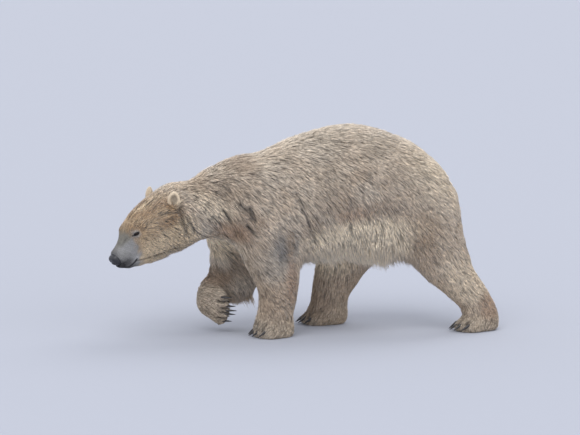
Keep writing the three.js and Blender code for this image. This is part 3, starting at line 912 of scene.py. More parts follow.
def markings_and_painted_light(points, normals, weights):
    """The coat's colour at places on the skin, with painted light and shade: linear red, green and blue."""
    places = in_head(points)
    forward, out, up = places.T
    large, small = waves(points, 0.42, 1), waves(points, 0.11, 2)
    greyer = step(-0.4, 1.1, waves(points, 0.5, 3) + 0.3 * waves(points, 0.16, 4))
    lower, feet = share_of(weights, "lower"), share_of(weights, "foot")
    legs = lower + share_of(weights, "upper")
    far_nodes = [f"{leg}_{part}" for leg in ("hindleg_right", LIFTED) for part in ("upper", "lower")]
    far_legs = share_of(weights, *far_nodes)
    legs_inner_shade = step(0.3, -0.4, normals[:, 1] * np.sign(points[:, 1])) * legs
    colour = layered(
        mix(CREAM, TAN, np.clip(0.50 + 0.16 * large + 0.12 * small, 0, 1)),
        (GREY_FUR * 0.97, 0.42 * greyer),
        (CREAM, 0.45 * step(0.3, 0.9, normals[:, 2])),  # painted light: what faces up is lighter
        (PALE, 0.65 * step(0.45, 0.95, points[:, 0]) * step(0.62, 0.95, points[:, 2])),  # the rump
        (TAN, 0.35 * step(0.1, 0.9, -normals[:, 2])),  # painted shade: what faces down is darker
        (TAN, 0.45 * lower),
        # painted shade on the legs' inner sides, which face each other
        (BROWN, 0.16 * legs_inner_shade * (1 - step(0.55, 0.75, points[:, 2]))),
        (BROWN, 0.10 * far_legs * (1 - step(0.45, 0.65, points[:, 2]))),
        (GREY_FUR, 0.60 * feet),
        (BROWN, 0.35 * feet * share_of(weights, "hindleg_right_foot")),
        *((tone, strength * patch_share(points, *place)) for *place, tone, strength in PATCHES),
    )

    on_head = step(-0.10, 0.03, forward) * step(0.1, 0.6, share_of(weights, "head", "neck"))
    head = mix(FACE_TAN, FACE_PALE, np.clip(0.20 + 0.5 * small + 1.2 * step(-0.03, -0.13, up), 0, 1))
    head = mix(head, CREAM, 0.30 * step(0.05, 0.11, up) * (1 - step(0.02, 0.14, forward)))
    slant = forward + 0.30 * up - 0.10 * (np.abs(out) - 0.06) + 0.012 * waves(points, 0.03, 8)
    grey = step(0.262, 0.318 + 0.03 * step(0.0, 0.06, up), slant) * on_head
    grey = grey * (1 - 0.75 * step(0.050, 0.085, up - 0.12 * (forward - 0.3)))
    whiskers = step(0.350, 0.395, forward) * step(-0.025, -0.070, up)
    mottled = 1 + 0.12 * waves(points, 0.030, 9) + 0.08 * waves(points, 0.011, 10)
    bridge = step(0.005, 0.035, up) * (np.abs(out) < 0.06)
    # painted shade along the crease beside the bridge of the nose
    crease = gauss(line_distance(one_sided(places), MUZZLE_CREASE)[0], 0.008)
    shaded = 0.74 * whiskers + 0.30 * step(0.375, 0.425, forward) * (1 - whiskers)
    muzzle = mix(MUZZLE_GREY, MUZZLE_OLIVE, 0.70 * bridge)
    muzzle = mix(muzzle, DARK_SKIN, np.maximum(shaded, 0.45 * crease))
    colour = layered(
        colour,
        (head, 0.80 * on_head),
        (muzzle * mottled[:, None], grey),
        (MUZZLE_GREY * 1.15, 0.65 * (1 - step(0.014, 0.032, from_eye(points)))),  # round the eyes
        (PALE, 0.50 * ear_share(places)),
        # painted shade in the ears' hollows
        (GREY_FUR * 0.80, 0.85 * hollow_share(places)),
    )
    colour = dark_face(colour, places, on_head)
    # Painted shade in the creases of the folds and the jaw.
    for line, width, _, crease_shade in FOLDS:
        colour = colour * (1 - crease_shade * fold_share(points, line, width))[:, None]
    # Painted shade in the grooves between the toes.
    return colour * (1 - 0.90 * toe_gaps(points, 0.0095) * feet)[:, None]


def dark_face(colour, places, on_head):
    """The bare dark skin of the lips, the chin's front and the eyelids."""
    lips = 1 - step(0.0035, 0.0085, from_mouth(places))
    chin = step(0.405, 0.428, places[:, 0]) * step(-0.050, -0.066, places[:, 2])
    chin = np.maximum(chin, 1 - step(1.05, 1.22, from_nose(places)))
    colour = mix(colour, DARK_SKIN * 0.75, np.maximum(lips, 0.9 * chin) * on_head)
    for side in SIDES.values():
        x, y, z = in_eye(places, side).T
        rim = 1 - step(1.60, 2.20, almond(x, y))
        duct = 1 - step(0.6, 1.5, from_duct(x, y))
        colour = mix(colour, DARK_SKIN * 0.5, np.maximum(rim, 0.85 * duct) * (z > 0))
    return colour


# ---------------------------------------------------------------- the lie of the coat

SPREAD = 0.17  # how far each of the places in LIE reaches
# Which way the hair lies at places over the left side; the right side is its mirror image, apart from the
# legs, which each have their own. None stands for along the claws.
LIE = [
    ((-0.30, 0.0, 1.10), (1.0, 0.0, -0.05)),
    ((0.30, 0.0, 1.24), (1.0, 0.0, 0.0)),
    ((0.70, 0.0, 1.08), (0.9, 0.0, -0.4)),
    ((0.88, 0.0, 0.80), (0.2, 0.0, -1.0)),
    ((-0.30, -0.22, 1.00), (0.84, -0.15, -0.52)),
    ((0.10, -0.26, 1.05), (0.84, -0.15, -0.52)),
    ((0.45, -0.26, 1.02), (0.82, -0.10, -0.56)),
    ((0.72, -0.20, 0.95), (0.75, -0.05, -0.66)),
    ((-0.30, -0.29, 0.78), (0.78, 0, -0.62)),
    ((0.00, -0.31, 0.80), (0.72, 0, -0.70)),
    ((0.25, -0.33, 0.80), (0.60, 0, -0.80)),
    ((0.50, -0.31, 0.80), (0.62, 0, -0.78)),
    ((0.72, -0.28, 0.78), (0.70, 0, -0.72)),
    ((0.00, -0.30, 0.56), (0.60, 0, -0.80)),
    ((0.25, -0.30, 0.56), (0.05, 0, -1.0)),
    ((0.50, -0.28, 0.56), (0.05, 0, -1.0)),
    ((0.25, 0.0, 0.38), (0.6, 0, -0.8)),
    ((-0.20, 0.0, 0.42), (0.8, 0, -0.6)),
    ((-0.50, -0.20, 0.86), (0.78, 0, -0.62)),
    ((-0.66, -0.19, 0.76), (0.62, 0, -0.78)),
    ((-0.72, -0.19, 0.66), (0.50, 0, -0.86)),
    ((-0.60, 0.0, 0.92), (0.95, 0, 0.10)),
    ((-0.62, 0.0, 0.54), (0.9, 0, -0.5)),
    ((-0.50, -0.16, 0.60), (0.80, 0, -0.60)),
]
LEG_LIE = {
    "foreleg_left": {"upper": (0.68, 0, -0.73), "lower": (0.62, 0, -0.78), "foot": (-0.60, 0, -0.80)},
    "foreleg_right": {"upper": (0.50, 0, -0.86), "lower": (0.55, 0, -0.83), "foot": None},
    "hindleg_left": {"upper": (0.66, 0, -0.75), "lower": (0.66, 0, -0.75), "foot": (-0.30, 0, -0.95)},
    "hindleg_right": {"upper": (0.00, 0, -1.0), "lower": (-0.12, 0, -1.0), "foot": (-0.60, 0, -0.80)},
}


def coat_ways(skin, normals, weights):
    """The lie of the coat at each point of the skin, along its surface."""
    points = skin.points
    folded = np.abs(points) * [0, -1, 0] + points * [1, 0, 1]
    total = np.zeros_like(points)
    sums = np.zeros(len(points))
    for at, way in LIE:
        weight = np.exp(-(((folded - np.array(at)) / SPREAD) ** 2).sum(1)) + 1e-9
        total += weight[:, None] * unit(way)
        sums += weight
    ways = total / sums[:, None]
    ways[:, 1] *= -np.sign(points[:, 1])
    for leg, lies in LEG_LIE.items():
        for name, way in lies.items():
            if way is None:
                root, tip = (np.mean(ends, axis=0) for ends in zip(*claw_ends(leg)))
                way = unit(tip - root) + 0.25 * DOWN
            share = step(0.0, 1.0, share_of(weights, f"{leg}_{name}")) * (0.7 if name == "upper" else 1.0)
            ways = mix(ways, unit(way), share)

    places = in_head(points)
    forward, out, up = places.T
    on_head = step(0.2, 0.8, share_of(weights, "head"))
    side = np.sign(out)
    cheek = step(0.055, -0.045, up) * step(0.36, 0.27, forward)
    head_way = -FORWARD + 0.25 * (side * step(0.25, 0.0, forward))[:, None] * OUT
    cheek_way = -0.95 * RISE - 0.40 * FORWARD
    ways = layered(
        ways,
        (DOWN, share_of(weights, "tail")),
        (unit(mix(head_way, cheek_way, cheek)), on_head),
        (unit(RISE - 0.5 * FORWARD), ear_share(places)),
    )
    ways = skin.spread(ways, 14)
    return unit(square_to(ways, normals))


# ---------------------------------------------------------------- the tufts


def worn_at(places, weights):
    """The coat's depth, and a tuft's length, width and share, at places on the skin."""
    forward, _, up = places.T
    depth, length, width, share = (weights @ WORN_TABLE).T
    on_head = step(0.3, 0.7, share_of(weights, "head"))
    face = step(0.10, 0.28, forward) * on_head
    crown = step(0.0, 0.06, up) * on_head
    muzzle = step(0.26, 0.33, forward) * on_head
    depth = layered(depth, (0.006, face), (0.007, 0.7 * crown), (0.0012, muzzle))
    length = layered(length, (0.022, face), (0.026, 0.7 * crown), (0.0075, muzzle))
    width = layered(width, (0.0028, face), (0.0016, muzzle))
    share = share * (1 + 0.9 * face) * (1 + 0.6 * muzzle)
    return depth, length, width, share


def coat_fields(skin, normals, weights):
    """What grows at each point of the skin: depth, length, width, share and how much it hangs."""
    places = in_head(skin.points)
    on_ear = ear_share(places)
    worn = zip(worn_at(places, weights), WORN_EAR)
    depth, length, width, share = (mix(value, ear_value, on_ear) for value, ear_value in worn)
    length = length * mix(0.40, 1.0, step(0.030, 0.060, from_ear(places)))
    near_eye = step(0.020, 0.055, from_eye(skin.points))
    near_lips = step(0.006, 0.030, from_mouth(places))
    bare = np.minimum(near_eye, near_lips)
    length = length * mix(0.30, 1.0, bare)
    depth = depth * mix(0.15, 1.0, bare)
    fields = skin.spread(np.stack([depth, length, width, share], 1), 4)
    depth, length, width, share = fields.T

    # The hair hangs free under the belly, behind the near foreleg, under the lifted one and the jaw, and
    # before the near thigh.
    trunk = share_of(weights, "trunk")
    hang = trunk * step(-0.05, -0.6, normals[:, 2]) * (1 - step(0.46, 0.62, skin.points[:, 2]))
    hang = np.maximum(hang, 0.8 * trunk * step(0.60, 0.50, skin.points[:, 2]))
    behind = share_of(weights, "foreleg_left_upper", "foreleg_left_lower") * step(0.3, 0.9, normals[:, 0])
    under = share_of(weights, f"{LIFTED}_lower", f"{LIFTED}_upper") * step(0.1, 0.8, -normals[:, 2])
    jaw = share_of(weights, "head") * step(0.35, 0.85, -normals[:, 2]) * (1 - step(0.34, 0.40, places[:, 0]))
    thigh = share_of(weights, "hindleg_left_upper") * step(-0.2, -0.8, normals[:, 0])
    hang = skin.spread(np.clip(hang + 0.5 * behind + 0.9 * under + 0.5 * jaw + 0.4 * thigh, 0, 1), 12)
    length = length * (1 + 0.45 * hang + 0.45 * under + 0.90 * jaw)
    # No hair grows on the soles and the bare skin, and little between the toes.
    sole = (normals[:, 2] < -0.75) & (skin.points[:, 2] < 0.02)
    share = np.where(sole | bare_places(places), 0, share * (1 - 0.6 * hollow_share(places)))
    share = share * (1 - 0.9 * toe_gaps(skin.points, 0.004) * share_of(weights, "foot"))
    return depth, length, width, share, hang


def open_lines(points):
    """1 on the folds, the jaw's crease and between the toes, which no tuft covers."""
    return np.maximum(nearest_fold(points)[0], toe_gaps(points, 0.006))


def smooth_haired(points):
    """1 where the hair is too short and flat to show its locks: the muzzle and round the eyes."""
    forward = in_head(points)[:, 0]
    short = np.maximum(step(0.28, 0.33, forward), 1 - step(0.016, 0.040, from_eye(points)))
    return np.maximum(short, 0.8 * ear_share(in_head(points)))


def bare_places(places):
    """Where no hair grows: the nose, the lips and the lids."""
    bare = (from_mouth(places) < 0.008) | (from_nose(places) < 1.07)
    for side in SIDES.values():
        x, y, z = in_eye(places, side).T
        rim = (almond(x, y) < 2.1) | (from_duct(x, y) < 1.2)
        bare |= rim & (z > 0) & (np.hypot(x, y) < 0.036)
    return bare


def grow(skin, normals, weights, ways, fields):
    """The root, frame and size of every tuft."""
    rng = np.random.default_rng(7)
    depth, length, width, share, hang = fields
    corners = skin.triangles
    areas = np.linalg.norm(face_vectors(skin.points, corners), axis=1) / 2
    wanted = areas * share[corners].mean(1)
    wanted *= COAT_TUFTS / wanted.sum()
    counts = np.floor(wanted + rng.random(len(wanted))).astype(int)
    face = np.repeat(np.arange(len(corners)), counts)
    count = len(face)
    first, second = np.sqrt(rng.random(count)), rng.random(count)
    mixes = np.stack([1 - first, first * (1 - second), first * second], 1)

    def at_root(values):
        return np.einsum("ij,ij...->i...", mixes, values[corners[face]])

    tuft = {
        "root": at_root(skin.points),
        "normal": unit(at_root(normals)),
        "depth": at_root(depth),
        "hang": at_root(hang),
        "weights": at_root(weights),
    }
    root, normal = tuft["root"], tuft["normal"]
    swirl = 0.10 * waves(root, 0.12, 11) + 0.10 * waves(root, 0.04, 12) + rng.normal(0, 0.07, count)
    folded, fold_way = nearest_fold(root)
    way = mix(at_root(ways), fold_way, 0.75 * step(0.3, 0.8, folded))
    way = unit(square_to(way, normal))
    fine = share_of(tuft["weights"], "head", "foot")
    body_streaks = streaks(root, way, 0.008, 0.020, 21)
    tuft["streak"] = mix(body_streaks, streaks(root, way, 0.006, 0.022, 22), fine)
    side = np.cross(normal, way)
    tuft["way"] = unit(way * np.cos(swirl)[:, None] + side * np.sin(swirl)[:, None])
    tuft["side"] = np.cross(normal, tuft["way"])
    tuft["length"] = at_root(length) * rng.uniform(*LENGTHS, count)
    tuft["length"] *= 1 + 0.60 * tuft["hang"] * waves(root, 0.05, 31)
    # A tuft whose way leads over a fold or a gap between toes is cut short of it.
    at_first = open_lines(root)
    for part in TRIED:
        reached = open_lines(root + tuft["way"] * (tuft["length"] * part)[:, None])
        tuft["length"] *= np.where((reached > 0.5) & (at_first < 0.4), max(part - 0.15, 0.25), 1.0)
    tuft["width"] = at_root(width) * rng.uniform(*WIDTHS, count)
    tuft["lift"] = rng.uniform(*LIFTS, count) + 0.05 * np.clip(tuft["streak"], -1.5, 1.5)
    proud = rng.random(count) < PROUD["share"] * (1 - smooth_haired(root))
    tuft["lift"] *= np.where(proud, PROUD["lift"], 1.0)
    # Dark strands, painted shade between the locks, run mostly in the dark streaks, and in the folds.
    low = tuft["streak"] + rng.normal(0, 1.2, count)
    tuft["dark"] = (low < np.quantile(low, SHADE_STRANDS["share"])) | (folded > rng.uniform(0.4, 0.9, count))
    tuft["width"] = np.where(tuft["dark"], tuft["width"] * SHADE_STRANDS["width"], tuft["width"])
    tuft["lift"] = np.where(tuft["dark"], 1.0, tuft["lift"])
    return tuft, rng


class Ground:
    """The skin, ready to be asked for the nearest place on it."""

    def __init__(self, skin, normals, ways):
        self.points, self.normals, self.ways = skin.points, normals, ways
        self.nearest = tree_of(skin.points)

    def under(self, places):
        """The nearest place on the skin, its normal and the lie of the coat there."""
        nearest = self.nearest(places)
        normal = self.normals[nearest]
        height = ((places - self.points[nearest]) * normal).sum(1, keepdims=True)
        return places - normal * np.clip(height, -STEEP, STEEP), normal, self.ways[nearest]


def gather(tuft, tips, rng):
    """Draws the tips of neighbouring tufts sideways to each other, as hair parts into locks."""
    root = tuft["root"]
    heads = rng.choice(len(root), len(root) // LOCK, replace=False)
    lead = heads[tree_of(root[heads])(root)]
    pull = square_to(tips[lead] - tips, tuft["way"])
    reach = np.linalg.norm(pull, axis=1, keepdims=True)
    pull *= np.minimum(1, LOCK_REACH * tuft["length"][:, None] / np.maximum(reach, 1e-6))
    return lead, pull


def tuft_points(tuft, ground, rng):
    """The seven points of every tuft: three at its root, three halfway and its tip."""
    root, normal, way, side = (tuft[k] for k in ("root", "normal", "way", "side"))
    length, width, depth, lift = (tuft[k][:, None] for k in ("length", "width", "depth", "lift"))
    hang = tuft["hang"][:, None]
    half_base, half_normal, half_way = ground.under(root + way * length * HALF)
    onward = unit(mix(way, half_way, 0.5))
    tip_base, tip_normal, _ = ground.under(half_base + onward * length * REST)
    tuft["half"], tuft["tip"] = half_base, tip_base
    free_half, free_tips = (
        root + way * length * along + normal * depth * high * lift + DOWN * length * fall
        for along, high, fall in HANGING
    )
    half = mix(half_base + half_normal * depth * LYING[0] * lift, free_half, hang)
    tips = mix(tip_base + tip_normal * depth * LYING[1] * lift, free_tips, hang)
    lead, pull = gather(tuft, tips, rng)
    half = half + pull * LOCK_PULL[0]
    tips = tips + pull * LOCK_PULL[1]
    bottom = root - normal * ROOTED
    thick = normal * width * THICK
    points = np.stack(
        [
            bottom - side * width * 0.5,
            bottom + side * width * 0.5,
            bottom + thick * 1.2,
            half - side * width * 0.45,
            half + side * width * 0.45,
            half + thick,
            tips,
        ],
        1,
    )
    points[..., 2] = np.maximum(points[..., 2], FLOOR_GAP)
    return points, lead


TUFT_POINTS = 7
TUFT_LEVELS = [0, 0, 0, 1, 1, 1, 2]  # which of its points are at the root, halfway and at the tip
TUFT_TRIANGLES = np.array(
    [
        *[(4, 1, 0), (3, 4, 0), (5, 2, 1), (4, 5, 1), (3, 0, 2), (5, 3, 2)],  # from the root to halfway
        *[(6, 4, 3), (6, 5, 4), (6, 3, 5)],  # from halfway to the tip
        (1, 2, 0),  # the bottom
    ]
)
SHADES = np.array([0.45, 0.45, 0.55, 0.86, 0.86, 0.96, 1.14])  # how bright each of its points is: painted shade towards the root, lighter at the tip
WARM = np.array([1.0, 0.95, 0.88])
TINTS = np.array([0.8, 0.8, 0.7, 0.25, 0.25, 0.1, 0.0])  # how much of the warm tint each point has
PATCH = 0.003  # each tuft's points spread over a patch this wide on the unrolled skin
PATCH_PLACES = np.array([(0, 0), (1, 0), (0.5, 0.1), (0.1, 0.5), (0.9, 0.5), (0.5, 0.6), (0.5, 1)]) * PATCH


def roughness_share(points, weights):
    """How far the tufts differ from each other: most on the neck and cheeks, least on the back."""
    rough = mix(1.0, 1.45, share_of(weights, "neck", "head"))
    back = step(0.25, 0.60, points[:, 0]) * step(0.40, 0.80, points[:, 2])
    top = share_of(weights, "trunk") * step(0.95, 1.15, points[:, 2])
    return rough * mix(1.0, 0.75, np.maximum(back, top))


def tuft_colours(tuft, lead, rng):
    """Painted shade, darker at the root and lighter at the tip, and dark strands of painted shade between the
    locks, with each lock and each tuft a little apart.
    """
    count = len(tuft["root"])
    base = np.stack([markings_and_painted_light(tuft[k], tuft["normal"], tuft["weights"]) for k in ("root", "half", "tip")], 1)
    base = base[:, TUFT_LEVELS]
    lock = np.random.default_rng(3).uniform(0.93, 1.07, count)[lead]
    own = rng.uniform(-1, 1, count)
    drawn = 1 + VARIED["streak"] * np.clip(tuft["streak"], -2, 2)
    plain = 0.85 * smooth_haired(tuft["root"])
    rough = roughness_share(tuft["root"], tuft["weights"])
    tone = lock * (1 + VARIED["tuft"] * rough * own) * drawn
    tone = tone * np.where(tuft["dark"], mix(1.0, SHADE_STRANDS["tone"], rough), 1.0)
    base = base * mix(tone, 1.0, plain)[:, None, None]
    patchy = 1 + VARIED["point"] * rng.uniform(-1, 1, (count, 3))[:, TUFT_LEVELS]
    base = base * mix(patchy, 1.0, plain[:, None])[..., None]
    tones = SHADES[:, None] * (1 - TINTS[:, None] * (1 - WARM))
    return base * mix(tones[None], 1.0, plain[:, None, None])


def unwrap(points, axis_from, axis_to):
    """Places round and along a straight axis, 0 to 1 both ways: the skin's own unrolled shape."""
    line = axis_to - axis_from
    along = (points - axis_from) @ line / (line @ line)
    forward = unit(line)
    across = unit(np.cross(forward, UP if abs(forward[2]) < 0.7 else BACK))
    upward = np.cross(across, forward)
    offset = points - axis_from
    turn = np.arctan2(offset @ upward, offset @ across) / (2 * math.pi) % 1
    return np.stack([turn, along], 1)


def fit_square(places):
    """Places moved and stretched to fill the unit square, with room for each tuft's patch."""
    low, high = places.min(0), places.max(0)
    return (places - low) / np.maximum(high - low, 1e-6) * (1 - 3 * PATCH) + PATCH


def coat_pieces(tuft, points, colours, finish):
    """The tufts as joined meshes, split by part of the body."""
    names = np.array(FLESH)[tuft["weights"].argmax(1)]
    groups = {"trunk": ["trunk", "tail"], "neck": ["neck"], "head": ["head"]}
    groups.update({leg: [f"{leg}_{p}" for p in ("upper", "lower", "foot")] for leg in LEGS})
    for group, nodes in groups.items():
        mine = np.flatnonzero(np.isin(names, nodes))
        root = tuft["root"][mine]
        # The line from end to end of the group, along which it is unrolled and split.
        centre = root.mean(0)
        longest = np.linalg.svd(root - centre, full_matrices=False)[2][0]
        reach = (root - centre) @ longest
        ends = centre + longest * reach.min(), centre + longest * reach.max()
        mine = mine[np.argsort(reach, kind="stable")]
        chunks = np.array_split(mine, math.ceil(len(mine) / PIECE_TUFTS))
        for number, chunk in enumerate(chunks):
            name = f"coat_{group}_{number + 1}"
            firsts = TUFT_POINTS * np.arange(len(chunk))
            triangles = (TUFT_TRIANGLES[None] + firsts[:, None, None]).reshape(-1, 3)
            mesh = triangle_mesh(name, points[chunk].reshape(-1, 3), triangles)
            colour_points(mesh, colours[chunk].reshape(-1, 3))
            places = fit_square(unwrap(tuft["root"][chunk], *ends))
            corners = (places[:, None, :] + PATCH_PLACES[None]).reshape(-1, 2)
            layer = mesh.uv_layers.new(name="OFBake")
            layer.data.foreach_set("uv", corners[triangles.ravel()].astype(np.float32).ravel())
            smooth_shaded(mesh)
            mesh.materials.append(finish)
            piece = new_object(name, mesh)
            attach(piece, "root")


# ---------------------------------------------------------------- materials

# The shader's inputs for each material.
FINISH = {
    "skin": {"Roughness": 0.62, "Specular IOR Level": 0.3},
    "fur": {"Roughness": 0.62, "Specular IOR Level": 0.25, "Sheen Weight": 0.30, "Sheen Roughness": 0.45},
    "eye": {"Roughness": 0.12, "Specular IOR Level": 0.22, "Coat Weight": 0.05, "Coat Roughness": 0.03},
    "nose": {"Roughness": 0.38, "Specular IOR Level": 0.5},
    "claw": {"Roughness": 0.32, "Specular IOR Level": 0.5},
    "floor": {"Roughness": 0.9, "Specular IOR Level": 0.1},
}
# The fine noise on each: its scale, and the strength and height of the bumps it gives.
NOISE = {
    "skin": (260.0, 0.35, 0.002),
    "fur": (120.0, 0.0, 0.001),
    "eye": (300.0, 0.02, 0.0005),
    "nose": (420.0, 0.35, 0.0012),
    "claw": (160.0, 0.10, 0.0006),
}


def material(name):
    """A new material with the shader's inputs from FINISH, its node tree and its shader."""
    made = bpy.data.materials.new(name)
    made.use_nodes = True
    shader = made.node_tree.nodes["Principled BSDF"]
    for key, value in FINISH[name].items():
        shader.inputs[key].default_value = value
    return made, made.node_tree, shader


def add_node(tree, kind, **values):
    """A new node, with the values given to its inputs or its own settings."""
    node = tree.nodes.new(kind)
    for name, value in values.items():
        if name in node.inputs:
            node.inputs[name].default_value = value
        else:
            setattr(node, name, value)
    return node


def noisy_material(name):
    """A material with bump from fine noise in the object's own place, and that noise."""
    made, tree, shader = material(name)
    scale, strength, height = NOISE[name]
    place = add_node(tree, "ShaderNodeTexCoord")
    noise = add_node(tree, "ShaderNodeTexNoise", Scale=scale, Detail=4.0)
    lift = add_node(tree, "ShaderNodeBump", Strength=strength, Distance=height)
    tree.links.new(place.outputs["Object"], noise.inputs["Vector"])
    tree.links.new(noise.outputs["Fac"], lift.inputs["Height"])
    tree.links.new(lift.outputs["Normal"], shader.inputs["Normal"])
    return made, tree, shader, noise.outputs["Fac"]


def painted_material(name, low, high):
    """The mesh's own colours, made darker and lighter, from low to high, by fine noise."""
    made, tree, shader, noise = noisy_material(name)
    colour = add_node(tree, "ShaderNodeVertexColor", layer_name=COLOUR_LAYER)
    shade = add_node(tree, "ShaderNodeMapRange", **{"To Min": low, "To Max": high})
    blend = add_node(tree, "ShaderNodeMix", data_type="RGBA", blend_type="MULTIPLY", Factor=1.0)
    tree.links.new(noise, shade.inputs["Value"])
    tree.links.new(colour.outputs["Color"], blend.inputs["A"])
    tree.links.new(shade.outputs["Result"], blend.inputs["B"])
    tree.links.new(blend.outputs["Result"], shader.inputs["Base Color"])
    return made


def plain_material(name, colour):
    """One colour, made darker and lighter by fine noise."""
    made, tree, shader, noise = noisy_material(name)
    ramp = add_node(tree, "ShaderNodeValToRGB")
    ramp.color_ramp.elements[0].color = (*(colour * 0.6), 1)
    ramp.color_ramp.elements[1].color = (*(colour * 1.5), 1)
    tree.links.new(noise, ramp.inputs["Fac"])
    tree.links.new(ramp.outputs["Color"], shader.inputs["Base Color"])
    return made


# ---------------------------------------------------------------- eyes, nose and claws


def smooth_piece(name, mesh, finish, node):
    smooth_shaded(mesh)
    mesh.materials.append(finish)
    piece = new_object(name, mesh)
    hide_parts(node)
    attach(piece, "root")


def sphere_mesh(name, across, rings):
    mesh = bpy.data.meshes.new(name)
    with opened(mesh) as shape:
        bmesh.ops.create_uvsphere(shape, u_segments=across, v_segments=rings, radius=1)
    return mesh


def make_eyes():
    finish = plain_material("eye", srgb(30, 20, 15))
    for name, side in SIDES.items():
        mesh = sphere_mesh(f"eyeball_{name}", 40, 24)
        ball = read(mesh.vertices, "co")
        axes = eye_axes(side)
        local = ball * EYE_RADIUS
        clear = gauss(np.hypot(local[:, 0], local[:, 1]), 0.0065) * (local[:, 2] > 0)
        local = local * (1 + 0.03 * clear)[:, None]
        set_points(mesh, from_head(local @ axes + eye_centre(side)))
        smooth_piece(f"eyeball_{name}", mesh, finish, f"eye_{name}")


def make_nose():
    mesh = sphere_mesh("nose_pad", 96, 64)
    ball = read(mesh.vertices, "co")
    boxy = np.sign(ball) * np.abs(ball) ** 0.64
    x, y, z = (boxy * NOSE_SIZE).T
    side = np.abs(y)
    front = step(-0.2, 0.5, ball[:, 0])
    lobes = 0.003 * np.exp(-(((side - 0.016) / 0.010) ** 2) - ((z - 0.004) / 0.014) ** 2)
    nostril = np.exp(-(((side - 0.016 - 0.25 * (z + 0.002)) / 0.0052) ** 2) - ((z + 0.003) / 0.0075) ** 2)
    slit = np.exp(-(((side - 0.026) / 0.009) ** 2) - ((z + 0.010) / 0.0026) ** 2)
    furrow = gauss(y, 0.0022) * step(0.010, -0.004, z)
    x = x + front * (lobes - 0.016 * nostril - 0.008 * slit - 0.004 * furrow)
    z = z - 0.003 * step(0.0, 0.02, -x) * (ball[:, 2] > 0)
    set_points(mesh, from_head(NOSE_AT + np.stack([x, y, z], 1)))
    smooth_piece("nose_pad", mesh, plain_material("nose", srgb(36, 36, 41)), "nose")


CLAW = {"wide": 0.0068, "high": 0.0088, "sink": 0.026}  # half sizes at the root, and how deep that sits
CLAW_STEPS, CLAW_SIDES = 12, 14


def tube_faces(steps, sides):
    """The faces of a closed tube of rings of points, with its two ends."""
    grid = np.arange(steps * sides).reshape(steps, sides)
    near, far = grid[:-1], grid[1:]
    walls = np.stack([near, np.roll(near, -1, 1), np.roll(far, -1, 1), far], 2)
    return [*walls.reshape(-1, 4).tolist(), grid[0, ::-1].tolist(), grid[-1].tolist()]


def make_claws():
    """Each claw a tapered curved horn, rooted deeper in the toe than its solid."""
    finish = plain_material("claw", srgb(40, 37, 38))
    faces = tube_faces(CLAW_STEPS, CLAW_SIDES)
    along = np.linspace(0, 1, CLAW_STEPS)
    girth = (1 - 0.86 * along**2.1)[:, None, None]
    turn = (np.arange(CLAW_SIDES) / CLAW_SIDES * 2 * math.pi)[None, :, None]
    for leg in LEGS:
        for number, (root, tip) in enumerate(claw_ends(leg)):
            node = f"{leg}_claw_{number + 1}"
            points = read(frame["nodes"][node].data.vertices, "co")
            ahead = unit(tip - root)
            bow = square_to(points.mean(0) - (root + tip) / 2, ahead)
            lateral = unit(np.cross(tip - root, bow if np.linalg.norm(bow) > 1e-4 else UP))
            start = root - ahead * CLAW["sink"]
            centre = start + (tip - start) * along[:, None] + bow * (1.6 * np.sin(math.pi * along))[:, None]
            upward = np.cross(lateral, unit(np.gradient(centre, axis=0)))
            across = lateral * (CLAW["wide"] * girth * np.cos(turn))
            rings = centre[:, None] + across + upward[:, None] * (CLAW["high"] * girth * np.sin(turn))
            mesh = bpy.data.meshes.new(f"horn_{node}")
            mesh.from_pydata(rings.reshape(-1, 3).tolist(), [], faces)
            mesh.update()
            face_outwards(mesh)
            smooth_piece(f"horn_{node}", mesh, finish, node)


# ---------------------------------------------------------------- stage, light and camera

# Angles in degrees, places in metres, the lens in millimetres.
CAMERA = {"azimuth": -12, "elevation": 8, "distance": 19.011, "lens": 200, "aim": (-0.0613, 0.0, 0.676)}

# Wide soft lights: the side each comes from, its height and spread in degrees, and its strength.
LIGHTS = {
    "key": ((-15, -30), 58, 50, 1.6),
    "fill": ((40, -50), 14, 60, 0.6),
    "rim": ((40, 30), 50, 40, 0.9),
    "bounce": ((-20, -60), -45, 120, 1.0),
}
FLOOR_REACH = 150.0  # from the middle to each side


def make_stage():
    mesh = bpy.data.meshes.new("floor")
    corners = [(x * FLOOR_REACH, y * FLOOR_REACH, 0) for x, y in ((-1, -1), (1, -1), (1, 1), (-1, 1))]
    mesh.from_pydata(corners, [], [(0, 1, 2, 3)])
    made, _, shader = material("floor")
    shader.inputs["Base Color"].default_value = (*srgb(165, 168, 178), 1)
    mesh.materials.append(made)
    floor = new_object("floor", mesh)
    floor.visible_shadow = False  # so that the studio's light also reaches the bear from below, as off snow

    world = bpy.data.worlds.new("studio")
    world.use_nodes = True
    background = world.node_tree.nodes["Background"]
    background.inputs["Color"].default_value = (*srgb(238, 241, 248), 1)
    background.inputs["Strength"].default_value = 1.0
    bpy.context.scene.world = world
    for name, (towards, height, spread, strength) in LIGHTS.items():
        lamp = bpy.data.lights.new(name, "SUN")
        lamp.energy = strength
        lamp.angle = math.radians(spread)
        rise = math.hypot(*towards) * math.tan(math.radians(height))
        turn = Vector((*towards, rise)).to_track_quat("Z", "Y")
        new_object(name, lamp).rotation_euler = turn.to_euler()


